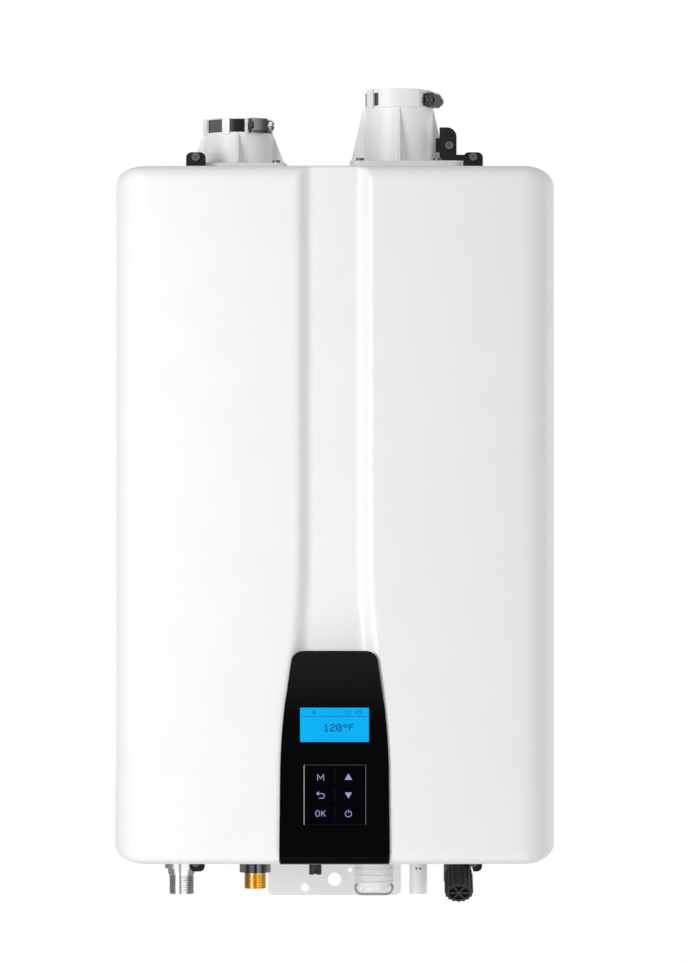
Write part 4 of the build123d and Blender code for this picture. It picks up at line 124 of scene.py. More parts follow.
corners = [(0.0, 0.0, FLOOR_Z)]
for index in range(FLOOR_SIDES):
    angle = 2 * math.pi * index / FLOOR_SIDES
    corners.append((FLOOR_RADIUS * math.cos(angle), FLOOR_RADIUS * math.sin(angle), FLOOR_Z))
faces = [(0, index + 1, (index + 1) % FLOOR_SIDES + 1) for index in range(FLOOR_SIDES)]
floor_mesh = bpy.data.meshes.new("studio_floor")
floor_mesh.from_pydata(corners, [], faces)
show("studio_floor", floor_mesh)

floor_paint = bpy.data.materials.new("pale floor fading into the white surround")
floor_paint.use_nodes = True
tree = floor_paint.node_tree
tree.nodes.clear()
place = tree.nodes.new("ShaderNodeTexCoord")
flat = tree.nodes.new("ShaderNodeVectorMath")
flat.operation = "MULTIPLY"
flat.inputs[1].default_value = (1.0, 1.0, 0.0)
reach = tree.nodes.new("ShaderNodeVectorMath")
reach.operation = "LENGTH"
fade = tree.nodes.new("ShaderNodeMapRange")
fade.interpolation_type = "SMOOTHSTEP"
fade.inputs["From Min"].default_value = FADE_START * FLOOR_RADIUS
fade.inputs["From Max"].default_value = FADE_END * FLOOR_RADIUS
paint = tree.nodes.new("ShaderNodeBsdfDiffuse")
paint.inputs["Color"].default_value = (FLOOR_TONE, FLOOR_TONE, FLOOR_TONE, 1.0)
clear = tree.nodes.new("ShaderNodeBsdfTransparent")
blend = tree.nodes.new("ShaderNodeMixShader")
floor_out = tree.nodes.new("ShaderNodeOutputMaterial")
wire(tree, [
    (place, "Object", flat, 0),
    (flat, "Vector", reach, 0),
    (reach, "Value", fade, "Value"),
    (fade, "Result", blend, "Fac"),
    (paint, "BSDF", blend, 1),
    (clear, "BSDF", blend, 2),
    (blend, "Shader", floor_out, "Surface"),
])
floor_mesh.materials.append(floor_paint)


# Lamps: a large soft box at the left front, level with the heater's upper half, a weak one
# beside its right wall, a long narrow one below that lifts the underside and the fittings,
# and a wide one behind.
def soft_box(name, place, aim, width, height, power):
    """A rectangular lamp that faces its aim point."""
    lamp = bpy.data.lights.new(name, "AREA")
    lamp.shape = "RECTANGLE"
    lamp.size = width
    lamp.size_y = height
    lamp.energy = power
    holder = show(name, lamp)
    holder.location = place
    holder.rotation_euler = (Vector(aim) - Vector(place)).to_track_quat("-Z", "Y").to_euler()


soft_box("key lamp", (-1.15, -1.72, -0.22), (0.0, -0.30, -0.36), width=0.75, height=1.1, power=27.5)
soft_box("right lamp", (1.9, 0.30, -0.36), (0.0, -0.20, -0.36), width=0.8, height=1.2, power=6.0)
soft_box("low lamp", (-0.1, -0.62, -1.35), (0.0, -0.05, -0.74), width=1.0, height=0.25, power=2.1)
soft_box("back lamp", (-0.9, 2.4, -0.1), (0.0, -0.10, -0.36), width=1.4, height=1.4, power=24.0)

# Camera: level, square on to the cover, four metres in front of the heater's foremost face.
# Its shift frames the heater a little left of the picture's middle, with its fittings clear of the foot.
CAMERA_AWAY, CAMERA_HEIGHT = 4.0, -0.362
LENS_MM, SENSOR_MM = 150.84, 36.0
SHIFT_X, SHIFT_Y = 0.0078, 0.0353
lens = bpy.data.cameras.new("front camera")
lens.lens = LENS_MM
lens.sensor_width = SENSOR_MM
lens.shift_x = SHIFT_X
lens.shift_y = SHIFT_Y
camera = show("front camera", lens)
camera.location = (0.0, bounds_before[0][1] - CAMERA_AWAY, CAMERA_HEIGHT)
camera.rotation_euler = (math.radians(90), 0.0, 0.0)
scene.camera = camera

# Front cover: one pan drawn from thin sheet steel and powder coated white.
# Its face is slightly crowned, a shallow channel runs down the middle and widens to the notch
# that the black panel stands in, and a folded frame inside presses on the case's gasket.
(_, _, BOTTOM_Z), (HALF_W, REAR_Y, TOP_Z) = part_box("front_cover")
FRONT_Y = -0.3335
SHEET_T = 0.0012
SIDE_R, END_R = 0.035, 0.014
CORNER_RX, CORNER_RZ = 0.030, 0.019
REAR_CORNER_R = 0.015
CROWN = 0.004
CHANNEL_HALF, CHANNEL_WALL = 0.036, 0.011
CHANNEL_DEEP, CHANNEL_SOFT = 0.009, 0.003
NOTCH_R, NOTCH_TOP_Z, NOTCH_SHOULDER = 0.0108, -0.4972, 0.0432
# Height, and half width there of the channel's mouth or of the notch.
WIDTH_PLACES = [
    (-0.710, 0.0551), (-0.608, 0.0540), (-0.580, 0.0525), (-0.552, 0.0498), (-0.525, 0.0454),
    (-0.508, 0.0432), (-0.4972, 0.0423), (-0.475, 0.0401), (-0.45, 0.03785), (-0.425, 0.03648),
    (-0.397, 0.036),
]
# The sheet's grid bends down to the notch's corners between these heights and widths.
BEND_TOP_Z, BEND_BELOW = -0.462, 0.070
BEND_FADE, WIDEN_END = 0.040, 0.120
# Shares of the straight edges at which they start to run into the corners.
SIDE_RUN_IN, END_RUN_IN = 0.85, 0.7
ARC_STEPS, RIM_STEPS, CORNER_STEPS = 9, 10, 10
WALL_SHARES = (0.25, 0.5, 0.75, 1.0)
SEAL_INSETS, SEAL_Y = (0.006, 0.0132), (-0.2280, -0.2268)
GRAIN_SCALE, GRAIN_DEEP = 1400.0, 0.0001
MID_Z, HALF_H = (TOP_Z + BOTTOM_Z) / 2, (TOP_Z - BOTTOM_Z) / 2
FACE_HALF_W, FACE_HALF_H = HALF_W - SIDE_R, HALF_H - END_R


def linear(red, green, blue):
    """Screen values from 0 to 255 as the shader's linear colour."""
    shares = [value / 255 for value in (red, green, blue)]
    return [s / 12.92 if s <= 0.04045 else ((s + 0.055) / 1.055) ** 2.4 for s in shares] + [1.0]


def new_finish(name):
    """A fresh material with its tree, its shader and the piece's own coordinates."""
    material = bpy.data.materials.new(name)
    material.use_nodes = True
    tree = material.node_tree
    return material, tree, tree.nodes["Principled BSDF"], tree.nodes.new("ShaderNodeTexCoord")


def cloudy_tone(tree, scale, low, high):
    """A cloud pattern, and a colour that wanders with it between two tones."""
    cloud = tree.nodes.new("ShaderNodeTexNoise")
    cloud.inputs["Scale"].default_value = scale
    tone = tree.nodes.new("ShaderNodeMix")
    tone.data_type = "RGBA"
    tone.inputs["A"].default_value = linear(*low)
    tone.inputs["B"].default_value = linear(*high)
    wire(tree, [(cloud, "Fac", tone, "Factor")])
    return cloud, tone


def finish_of(name, low, high, rough, scale=60.0, stretch=(1, 1, 1), metal=0.0, bump=0.0, coat=0.0,
              soft_edge=0.0, shine=0.5):
    """Finish whose colour runs between two tones, and whose gloss runs between two roughness values."""
    material, tree, shader, place = new_finish(name)
    turned = tree.nodes.new("ShaderNodeMapping")
    turned.inputs["Scale"].default_value = stretch
    cloud, tone = cloudy_tone(tree, scale, low, high)
    cloud.inputs["Detail"].default_value = 4.0
    gloss = tree.nodes.new("ShaderNodeMapRange")
    gloss.inputs["From Min"].default_value = 0.3
    gloss.inputs["From Max"].default_value = 0.7
    gloss.inputs["To Min"].default_value = rough[0]
    gloss.inputs["To Max"].default_value = rough[1]
    wire(tree, [
        (place, "Object", turned, "Vector"),
        (turned, "Vector", cloud, "Vector"),
        (tone, "Result", shader, "Base Color"),
        (cloud, "Fac", gloss, "Value"),
        (gloss, "Result", shader, "Roughness"),
    ])
    shader.inputs["Metallic"].default_value = metal
    shader.inputs["Specular IOR Level"].default_value = shine
    shader.inputs["Coat Weight"].default_value = coat
    shader.inputs["Coat Roughness"].default_value = 0.1
    if soft_edge:
        edge = tree.nodes.new("ShaderNodeBevel")
        edge.samples = 4
        edge.inputs["Radius"].default_value = soft_edge
        wire(tree, [(edge, "Normal", shader, "Normal")])
    if bump:
        grain = tree.nodes.new("ShaderNodeTexNoise")
        grain.inputs["Scale"].default_value = GRAIN_SCALE
        grain.inputs["Detail"].default_value = 2.0
        relief = tree.nodes.new("ShaderNodeBump")
        relief.inputs["Strength"].default_value = bump
        relief.inputs["Distance"].default_value = GRAIN_DEEP
        wire(tree, [
            (turned, "Vector", grain, "Vector"),
            (grain, "Fac", relief, "Height"),
            (relief, "Normal", shader, "Normal"),
        ])
        if soft_edge:
            wire(tree, [(edge, "Normal", relief, "Normal")])
    return material


def mark_edges(work, smooth):
    """Smooth faces, with a hard edge where two meet at more than an angle in degrees."""
    for face in work.faces:
        face.smooth = True
    for edge in work.edges:
        edge.smooth = len(edge.link_faces) == 2 and edge.calc_face_angle(0) < math.radians(smooth)


def tidy_mesh(mesh, smooth):
    """Merge doubled points, turn the faces outward and mark hard edges."""
    work = bmesh.new()
    work.from_mesh(mesh)
    bmesh.ops.remove_doubles(work, verts=work.verts, dist=1e-6)
    bmesh.ops.recalc_face_normals(work, faces=work.faces)
    mark_edges(work, smooth)
    work.to_mesh(mesh)
    work.free()


def finished_mesh(piece):
    """The plain mesh that a piece's modifiers give."""
    return bpy.data.meshes.new_from_object(piece.evaluated_get(bpy.context.evaluated_depsgraph_get()))


def ease(value):
    """Smooth step from 0 to 1."""
    value = min(max(value, 0.0), 1.0)
    return value * value * (3 - 2 * value)


def run_in(share, start):
    """Smooth step from 0 at a starting share to 1 at the whole."""
    return ease((share - start) / (1 - start))


def soft_max(first, second, reach):
    """The larger of two depths, rounded where they meet."""
    share = max(reach - abs(first - second), 0.0) / reach
    return max(first, second) + share * share * reach / 4


def width_at(z):
    """Half width of the channel's mouth, then of the notch, at a height."""
    heights, widths = zip(*WIDTH_PLACES)
    return float(np.interp(z, heights, widths))


def crown_at(x):
    """How far the crowned face has fallen back at a place across it."""
    return CROWN * min(abs(x) / FACE_HALF_W, 1.0) ** 2


def channel_depth(u):
    """How far the channel lies behind the cover's crest, well above it outside the walls."""
    wall = CHANNEL_DEEP * (CHANNEL_HALF - abs(u)) / CHANNEL_WALL
    return -soft_max(-wall, -CHANNEL_DEEP, CHANNEL_SOFT)


# The grid's places across, from the middle out, and its heights from the top down,
# both closer together where the channel and the notch bend the sheet.
arc_u = []
for step in range(ARC_STEPS):
    angle = math.pi / 2 * step / (ARC_STEPS - 1)
    arc_u.append((NOTCH_SHOULDER - NOTCH_R + NOTCH_R * math.sin(angle)) * CHANNEL_HALF / NOTCH_SHOULDER)
columns = [0.0, 0.007, 0.014, 0.0185, 0.0215, 0.0238, 0.0254] + arc_u
columns += [0.0368, 0.0378, 0.039, 0.0405, 0.0425, 0.045, 0.049, 0.055, 0.063, 0.072, 0.083, 0.095]
columns += [0.108, 0.120, 0.130, 0.141, 0.152, 0.163, 0.174, FACE_HALF_W]
columns = [-u for u in columns[:0:-1]] + columns
edge_column = [index for index, u in enumerate(columns) if abs(abs(u) - CHANNEL_HALF) < 1e-9]
rows = [MID_Z + FACE_HALF_H, -0.033, -0.040, -0.050, -0.062]
rows += np.linspace(-0.078, -0.390, 24).tolist() + np.linspace(-0.397, -0.4850, 20).tolist()
rows += [-0.4885, -0.4915, -0.4945, NOTCH_TOP_Z]
notch_row = len(rows) - 1
rows += [-0.500, -0.504, -0.509, -0.515, -0.522, -0.530] + np.linspace(-0.540, -0.672, 12).tolist()
rows += [-0.681, -0.689, MID_Z - FACE_HALF_H]
last = len(rows) - 1
wide = len(columns) - 1


def arc_drop(u):
    """How far the notch's rounded top corner hangs below its top edge at a column."""
    start = arc_u[0]
    u = abs(u)
    if u <= start:
        return 0.0
    if u <= CHANNEL_HALF:
        side = min((u - start) / (CHANNEL_HALF - start), 1.0)
        return NOTCH_R * (1 - math.sqrt(1 - side * side))
    return NOTCH_R * (1 - ease((u - CHANNEL_HALF) / BEND_FADE))


def face_place(u, row_z):
    """Front view place of a grid point on the face."""
    above = ease((row_z - BEND_TOP_Z) / (NOTCH_TOP_Z - BEND_TOP_Z))
    below = 1 - ease((NOTCH_TOP_Z - row_z) / BEND_BELOW)
    z = row_z - arc_drop(u) * (above if row_z >= NOTCH_TOP_Z else below)
    share = 1 - ease((abs(u) - CHANNEL_HALF) / (WIDEN_END - CHANNEL_HALF))
    return u * (1 + (width_at(z) / CHANNEL_HALF - 1) * share), z


def rim_point(x, z, u, turn, side, end, corner):
    """Point on the rounded rim; corner is 0 at the side wall and 1 at the top or bottom wall."""
    sine, cosine = math.sin(turn), math.cos(turn)
    deep_side = CROWN + SIDE_R * (1 - cosine)
    deep_end = (CROWN if side else crown_at(x)) + END_R * (1 - cosine)
    if side and end:
        phi = corner * math.pi / 2
        rx, rz = CORNER_RX * sine, CORNER_RZ * sine
        px = FACE_HALF_W + SIDE_R * sine - rx + rx * math.cos(phi)
        pz = FACE_HALF_H + END_R * sine - rz + rz * math.sin(phi)
        deep = deep_side * math.cos(phi) ** 2 + deep_end * math.sin(phi) ** 2
        return side * px, MID_Z + end * pz, deep
    if side:
        reach = FACE_HALF_H + (END_R - CORNER_RZ) * sine
        slide = run_in(min(abs(z - MID_Z) / FACE_HALF_H, 1.0), SIDE_RUN_IN)
        pz = (z - MID_Z) * (1 + (reach / FACE_HALF_H - 1) * slide)
        return side * (FACE_HALF_W + SIDE_R * sine), MID_Z + pz, deep_side
    reach = FACE_HALF_W + (SIDE_R - CORNER_RX) * sine
    slide = run_in(min(abs(x) / FACE_HALF_W, 1.0), END_RUN_IN)
    px = x * (1 + (reach / FACE_HALF_W - 1) * slide)
    deep = soft_max(deep_end, channel_depth(u), CHANNEL_SOFT)
    return px, MID_Z + end * (FACE_HALF_H + END_R * sine), deep


def in_notch(j):
    """True for the strip between two columns where the notch is open."""
    return edge_column[0] <= j < edge_column[1]


points, faces = [], []
grid = {}
for i, row_z in enumerate(rows):
    for j, u in enumerate(columns):
        x, z = face_place(u, row_z)
        if i in (0, last):
            z = row_z
        grid[i, j] = len(points)
        points.append((x, FRONT_Y + soft_max(crown_at(x), channel_depth(u), CHANNEL_SOFT), z))
for i in range(last):
    for j in range(wide):
        if i < notch_row or not in_notch(j):
            faces.append((grid[i, j], grid[i + 1, j], grid[i + 1, j + 1], grid[i, j + 1]))

# The rim's loop runs clockwise from the top left, with ("grid", row, column) along the edges
# and ("corner", side, end, share) round the corners, which are sharp on the face.
loop = [("grid", 0, j) for j in range(wide + 1)]
loop += [("corner", 1, 1, 1 - k / CORNER_STEPS) for k in range(1, CORNER_STEPS)]
loop += [("grid", i, wide) for i in range(last + 1)]
loop += [("corner", 1, -1, k / CORNER_STEPS) for k in range(1, CORNER_STEPS)]
loop += [("grid", last, j) for j in range(wide, -1, -1)]
loop += [("corner", -1, -1, 1 - k / CORNER_STEPS) for k in range(1, CORNER_STEPS)]
loop += [("grid", i, 0) for i in range(last, -1, -1)]
loop += [("corner", -1, 1, k / CORNER_STEPS) for k in range(1, CORNER_STEPS)]


def loop_point(index, turn):
    """Point of the rim's loop at a turn, which is 0 on the face and a right angle on the walls."""
    kind, *place = loop[index]
    if kind == "corner":
        return rim_point(0.0, 0.0, HALF_W, turn, *place)
    i, j = place
    x, _, z = points[grid[i, j]]
    neighbour = loop[index - 1]
    if neighbour[0] == "corner":
        neighbour = loop[(index + 1) % len(loop)]
    if i in (0, last) and neighbour[1] == i:
        return rim_point(x, z, columns[j], turn, 0, -1 if i else 1, 0)
    return rim_point(x, z, columns[j], turn, 1 if j else -1, 0, 0)


# The rim rolls over from the face to the walls, which run back to the case while their corners tighten.
ring = []
for kind, *place in loop:
    if kind == "corner":
        place = (0 if place[1] > 0 else last, wide if place[0] > 0 else 0)
    ring.append(grid[tuple(place)])
rings = [ring]
for step in range(1, RIM_STEPS + 1):
    ring = []
    for index in range(len(loop)):
        x, z, deep = loop_point(index, math.radians(90 * step / RIM_STEPS))
        ring.append(len(points))
        points.append((x, FRONT_Y + deep, z))
    rings.append(ring)
wall_ring = rings[-1]
for share in WALL_SHARES:
    shrink = share * share
    rx = CORNER_RX + (REAR_CORNER_R - CORNER_RX) * shrink
    rz = CORNER_RZ + (REAR_CORNER_R - CORNER_RZ) * shrink
    ring = []
    for entry, start in zip(loop, wall_ring):
        x, y, z = points[start]
        if entry[0] == "corner":
            phi = entry[3] * math.pi / 2
            x = entry[1] * (HALF_W - rx + rx * math.cos(phi))
            z = MID_Z + entry[2] * (HALF_H - rz + rz * math.sin(phi))
        elif abs(abs(z - MID_Z) - HALF_H) < 1e-6:
            slide = run_in(abs(x) / (HALF_W - CORNER_RX), END_RUN_IN)
            x += math.copysign((CORNER_RX - rx) * slide, x)
        else:
            slide = run_in(abs(z - MID_Z) / (HALF_H - CORNER_RZ), SIDE_RUN_IN)
            z += math.copysign((CORNER_RZ - rz) * slide, z - MID_Z)
        ring.append(len(points))
        points.append((x, y + (REAR_Y - y) * share, z))
    rings.append(ring)
for first, second in zip(rings, rings[1:]):
    for index, entry in enumerate(loop):
        following = (index + 1) % len(loop)
        after = loop[following]
        on_bottom = entry[:2] == ("grid", last) and after[:2] == ("grid", last)
        if on_bottom and in_notch(min(entry[2], after[2])):
            continue
        corners = [first[index], first[following], second[following], second[index]]
        faces.append(tuple(c for k, c in enumerate(corners) if c not in corners[:k]))

# The sheet gets its thickness inwards, and then its folded frame.
cover_paint = finish_of("white powder coat on the cover", (230, 230, 230), (234, 234, 234), (0.36, 0.44),
                        25.0, bump=0.12)
skin_mesh = bpy.data.meshes.new("front_cover_skin")
skin_mesh.from_pydata(points, [], faces)
tidy_mesh(skin_mesh, smooth=180)
skin = show("front_cover_skin", skin_mesh)
thick = skin.modifiers.new("sheet thickness", "SOLIDIFY")
thick.thickness = SHEET_T
thick.offset = -1.0
cover_mesh = finished_mesh(skin)
bpy.data.objects.remove(skin)


def seal_outline(inset):
    """Front view outline of the folded frame inside the cover, open at the notch."""
    w = HALF_W - SHEET_T - inset
    high, low = TOP_Z - SHEET_T - inset, BOTTOM_Z + SHEET_T + inset
    gap = width_at(low)
    return [(-gap, low), (-w, low), (-w, high), (w, high), (w, low), (gap, low)]


# The frame's corners: six outside and six inside on its front, then the same on its back.
outer, inner = [seal_outline(inset) for inset in SEAL_INSETS]
frame_points, frame_faces = [], []
for y in SEAL_Y:
    frame_points += [(x, y, z) for x, z in outer + inner]
for k in range(5):
    frame_faces.append((k, k + 1, k + 7, k + 6))
    frame_faces.append((k + 12, k + 18, k + 19, k + 13))
    frame_faces.append((k, k + 12, k + 13, k + 1))
    frame_faces.append((k + 6, k + 7, k + 19, k + 18))
frame_faces += [(0, 6, 18, 12), (5, 17, 23, 11)]
work = bmesh.new()
work.from_mesh(cover_mesh)
added = [work.verts.new(p) for p in frame_points]
for corners in frame_faces:
    work.faces.new([added[k] for k in corners])
work.to_mesh(cover_mesh)
work.free()
cover_mesh.name = "front_cover_shell"
cover_mesh.materials.clear()
cover_mesh.materials.append(cover_paint)
tidy_mesh(cover_mesh, smooth=50)
cover = show("front_cover_shell", cover_mesh)
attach(cover, "front_cover")
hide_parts("front_cover")

# Control panel: a deep tub moulded in black gloss plastic, softly rounded round its face,
# and greyer near its top with a painted reflection.
# It stands on the casing's cross rail and comes forward through the cover's notch.
(_, PANEL_FACE_Y, PANEL_LOW_Z), (_, _, PANEL_TOP_Z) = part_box("panel_bezel")
PANEL_ROUND, SQUARE_FOOT = 0.0022, 0.0005
# Heights over which the panel's black fades up into its painted reflection.
REFLECTION_LOW_Z, REFLECTION_HIGH_Z = -0.578, -0.500
# Height, and half width there of the tub's face.
PANEL_SIDE = [(-0.710, 0.0543), (-0.608, 0.0532), (-0.552, 0.0490), (-0.498, 0.0415)]
# Edges are rounded within these distances of the face, the top and the sides, down to the square foot.
ROUND_DEEP, ROUND_TOP, ROUND_SIDE = 0.0145, 0.011, 0.0009


def cad_copy(name, node):
    """A CAD node's mesh as a new closed mesh, to be softened and shown in its place."""
    mesh = cad[node].data.copy()
    mesh.name = name
    work = bmesh.new()
    work.from_mesh(mesh)
    bmesh.ops.remove_doubles(work, verts=work.verts, dist=2e-6)
    within = [edge for edge in work.edges if all(abs(face.normal.y) < 0.5 for face in edge.link_faces)]
    bmesh.ops.dissolve_limit(work, angle_limit=math.radians(1), verts=work.verts, edges=within)
    return mesh, work


def stand_in(name, mesh, work, material, node, smooth):
    """Finish a softened copy and show it instead of its node."""
    mark_edges(work, smooth)
    work.to_mesh(mesh)
    work.free()
    mesh.materials.clear()
    mesh.materials.append(material)
    piece = show(name, mesh)
    even = piece.modifiers.new("even shading", "WEIGHTED_NORMAL")
    even.keep_sharp = True
    settled = finished_mesh(piece)
    settled.name = name
    piece.modifiers.clear()
    piece.data = settled
    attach(piece, "heater")
    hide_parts(node)


panel_black = finish_of("black gloss panel", (2, 2, 2), (4, 4, 5), (0.10, 0.14), 18.0, shine=0.02)
tree = panel_black.node_tree
shader = tree.nodes["Principled BSDF"]
tone = shader.inputs["Base Color"].links[0].from_node
place = tree.nodes.new("ShaderNodeTexCoord")
parts = tree.nodes.new("ShaderNodeSeparateXYZ")
# Painted reflection: the panel's black turns greyer towards its top.
height = tree.nodes.new("ShaderNodeMapRange")
height.interpolation_type = "SMOOTHSTEP"
height.inputs["From Min"].default_value = REFLECTION_LOW_Z
height.inputs["From Max"].default_value = REFLECTION_HIGH_Z
painted_reflection = tree.nodes.new("ShaderNodeMix")
painted_reflection.data_type = "RGBA"
painted_reflection.inputs["B"].default_value = linear(25, 25, 26)
wire(tree, [
    (place, "Object", parts, "Vector"),
    (parts, "Z", height, "Value"),
    (height, "Result", painted_reflection, "Factor"),
    (tone, "Result", painted_reflection, "A"),
    (painted_reflection, "Result", shader, "Base Color"),
])
mesh, work = cad_copy("panel_bezel_tub", "panel_bezel")
side_z, side_w = zip(*PANEL_SIDE)
rim = []
for edge in work.edges:
    ends = [v.co for v in edge.verts]
    if len(edge.link_faces) != 2 or edge.calc_face_angle(0) < math.radians(30):
        continue
    too_deep = max(p.y for p in ends) > PANEL_FACE_Y + ROUND_DEEP
    if too_deep or min(p.z for p in ends) <= PANEL_LOW_Z + SQUARE_FOOT:
        continue
    on_side = all(abs(abs(p.x) - float(np.interp(p.z, side_z, side_w))) < ROUND_SIDE for p in ends)
    if on_side or all(p.z > PANEL_TOP_Z - ROUND_TOP for p in ends):
        rim.append(edge)
bmesh.ops.bevel(work, geom=rim, offset=PANEL_ROUND, segments=4, profile=0.5, affect="EDGES",
                clamp_overlap=True)
stand_in("panel_bezel_tub", mesh, work, panel_black, "panel_bezel", smooth=35)

# Display: a backlit dot display behind a clear window.
# Its small dark square dots show the set temperature and, in smaller signs above a rule, the time.
DOT_T = 0.00002
DISPLAY_FACE_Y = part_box("display_lens")[0][1] - DOT_T
SIGN_DOTS = 6
FIGURE_STEP, UNIT_STEP, FIGURE_DOT = 0.00105, 0.00092, 0.00118
CLOCK_STEP, RADIO_STEP, SMALL_DOT = 0.00056, 0.00062, 0.00050
FIGURE_LEFT, UNIT_LEFT, FIGURE_Z = -0.0103, 0.0092, -0.5700
RADIO_LEFT, CLOCK_LEFT, CLOCK_Z = -0.0216, 0.0110, -0.5562
RULE_LEFT, RULE_STEP, RULE_DOTS, RULE_Z = -0.0325, 0.00066, 99, -0.5618
# Rows of dots, dark at each 1; "o" is the degree ring and "~" the radio sign.
LETTERS = {
    "0": ("01110", "10001", "10011", "10101", "11001", "10001", "01110"),
    "1": ("00100", "01100", "00100", "00100", "00100", "00100", "01110"),
    "2": ("01110", "10001", "00001", "00110", "01000", "10000", "11111"),
    "4": ("00010", "00110", "01010", "10010", "11111", "00010", "00010"),
    "5": ("11111", "10000", "11110", "00001", "00001", "10001", "01110"),
    "F": ("11111", "10000", "10000", "11110", "10000", "10000", "10000"),
    "o": ("01100", "10010", "10010", "01100", "00000", "00000", "00000"),
    ":": ("00000", "00100", "00000", "00000", "00100", "00000", "00000"),
    "~": ("00100", "01110", "11111", "11011", "11111", "01110", "00000"),
}


def lit(name, bright, dim, strength=1.0):
    """A surface that glows by itself, a little unevenly over its face."""
    material, tree, shader, place = new_finish(name)
    cloud, tone = cloudy_tone(tree, 40.0, dim, bright)
    wire(tree, [(place, "Object", cloud, "Vector"), (tone, "Result", shader, "Emission Color")])
    shader.inputs["Emission Strength"].default_value = strength
    shader.inputs["Base Color"].default_value = (0.002, 0.002, 0.003, 1.0)
    shader.inputs["Roughness"].default_value = 0.2
    shader.inputs["Specular IOR Level"].default_value = 0.01
    return material


def dress(material, *names):
    """Give CAD nodes their finish."""
    for name in names:
        cad[name].data.materials.clear()
        cad[name].data.materials.append(material)


def dots_of(text, left, top, step):
    """Places of the dark dots of a line of signs, each five dots wide and seven high with a dot between."""
    places = []
    for k, letter in enumerate(text):
        for r, line in enumerate(LETTERS[letter]):
            for c, bit in enumerate(line):
                if bit == "1":
                    places.append((left + (k * SIGN_DOTS + c) * step, DISPLAY_FACE_Y, top - r * step))
    return places


def new_tree(name, sizes, places=()):
    """A Geometry Nodes group with its named sizes and places as inputs, and the node they come from."""
    group = bpy.data.node_groups.new(name, "GeometryNodeTree")
    group.interface.new_socket("Geometry", in_out="INPUT", socket_type="NodeSocketGeometry")
    for size in sizes:
        group.interface.new_socket(size, in_out="INPUT", socket_type="NodeSocketFloat")
    for place in places:
        group.interface.new_socket(place, in_out="INPUT", socket_type="NodeSocketVector")
    group.interface.new_socket("Geometry", in_out="OUTPUT", socket_type="NodeSocketGeometry")
    return group, group.nodes.new("NodeGroupInput")


def end_tree(group, made, output, material):
    """Close a group: what it has made becomes real, gets its material and goes out."""
    real = group.nodes.new("GeometryNodeRealizeInstances")
    coloured = group.nodes.new("GeometryNodeSetMaterial")
    coloured.inputs["Material"].default_value = material
    end = group.nodes.new("NodeGroupOutput")
    wire(group, [
        (made, output, real, "Geometry"),
        (real, "Geometry", coloured, "Geometry"),
        (coloured, "Geometry", end, "Geometry"),
    ])


def square_dots(material):
    """Nodes: a thin square tile on each point."""
    group, start = new_tree("square dots on points", ["Dot size"])
    tile = group.nodes.new("GeometryNodeMeshCube")
    thin = group.nodes.new("ShaderNodeCombineXYZ")
    thin.inputs["Y"].default_value = DOT_T
    spread = group.nodes.new("GeometryNodeInstanceOnPoints")
    wire(group, [
        (start, "Dot size", thin, "X"),
        (start, "Dot size", thin, "Z"),
        (thin, "Vector", tile, "Size"),
        (start, "Geometry", spread, "Points"),
        (tile, "Mesh", spread, "Instance"),
    ])
    end_tree(group, spread, "Instances", material)
    return group


def grow_on_points(name, places, group, inputs):
    """Run a Geometry Nodes group over a cloud of points once and keep the plain mesh that it gives."""
    cloud_mesh = bpy.data.meshes.new(name)
    cloud_mesh.from_pydata(places, [], [])
    piece = show(name, cloud_mesh)
    grower = piece.modifiers.new("nodes", "NODES")
    grower.node_group = group
    for item in group.interface.items_tree:
        if item.in_out == "INPUT" and item.name in inputs:
            grower[item.identifier] = inputs[item.name]
    grown = finished_mesh(piece)
    grown.name = name
    piece.modifiers.clear()
    piece.data = grown
    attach(piece, "heater")


display_blue = lit("blue backlight", (8, 181, 248), (3, 172, 240))
dress(display_blue, "display_lens")
dark_dot = lit("dark display dot", (8, 84, 140), (6, 72, 126))
places = dots_of("120", FIGURE_LEFT, FIGURE_Z, FIGURE_STEP)
places += dots_of("oF", UNIT_LEFT, FIGURE_Z, UNIT_STEP)
grow_on_points("display_digits", places, square_dots(dark_dot), {"Dot size": FIGURE_DOT})
places = dots_of("12:45", CLOCK_LEFT, CLOCK_Z, CLOCK_STEP)
places += dots_of("~", RADIO_LEFT, CLOCK_Z, RADIO_STEP)
places += [(RULE_LEFT + RULE_STEP * k, DISPLAY_FACE_Y, RULE_Z) for k in range(RULE_DOTS)]
grow_on_points("display_small_marks", places, square_dots(dark_dot), {"Dot size": SMALL_DOT})

# Keys: six touch pads of black plastic in a plate, each with a printed lavender sign.
# A thin glowing line round the plate is a painted edge highlight, brighter at its left and fainter at its
# foot.
(plate_left, _, plate_low), (plate_right, _, plate_high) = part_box("key_plate")
INK_T, INK_GAP = 0.00004, 0.00001
SIGN_STROKE, M_STROKE, LINE_STROKE = 0.0008, 0.00085, 0.0006
MITRE_LIMIT = 0.5
MM = 0.001
LINE_LEFT, LINE_RIGHT = plate_left + 0.0011, plate_right - 0.0003
LINE_LOW, LINE_HIGH = plate_low + 0.0010, plate_high - 0.0001
LINE_END = 0.0004
key_black = finish_of("black key plastic", (2, 2, 4), (5, 4, 8), (0.24, 0.32), 90.0, shine=0.008)
dress(key_black, "key_plate", "key_mode", "key_back", "key_ok", "key_up", "key_down", "key_power")
sign_ink = lit("lavender sign ink", (176, 166, 236), (160, 150, 222), 0.9)
edge_highlight_paints = [
    lit("bright painted edge highlight", (206, 210, 214), (176, 178, 182)),
    lit("soft painted edge highlight", (112, 114, 118), (94, 96, 100)),
    lit("dim painted edge highlight", (70, 70, 76), (54, 54, 60)),
    lit("faint painted edge highlight", (26, 26, 30), (18, 18, 22)),
]


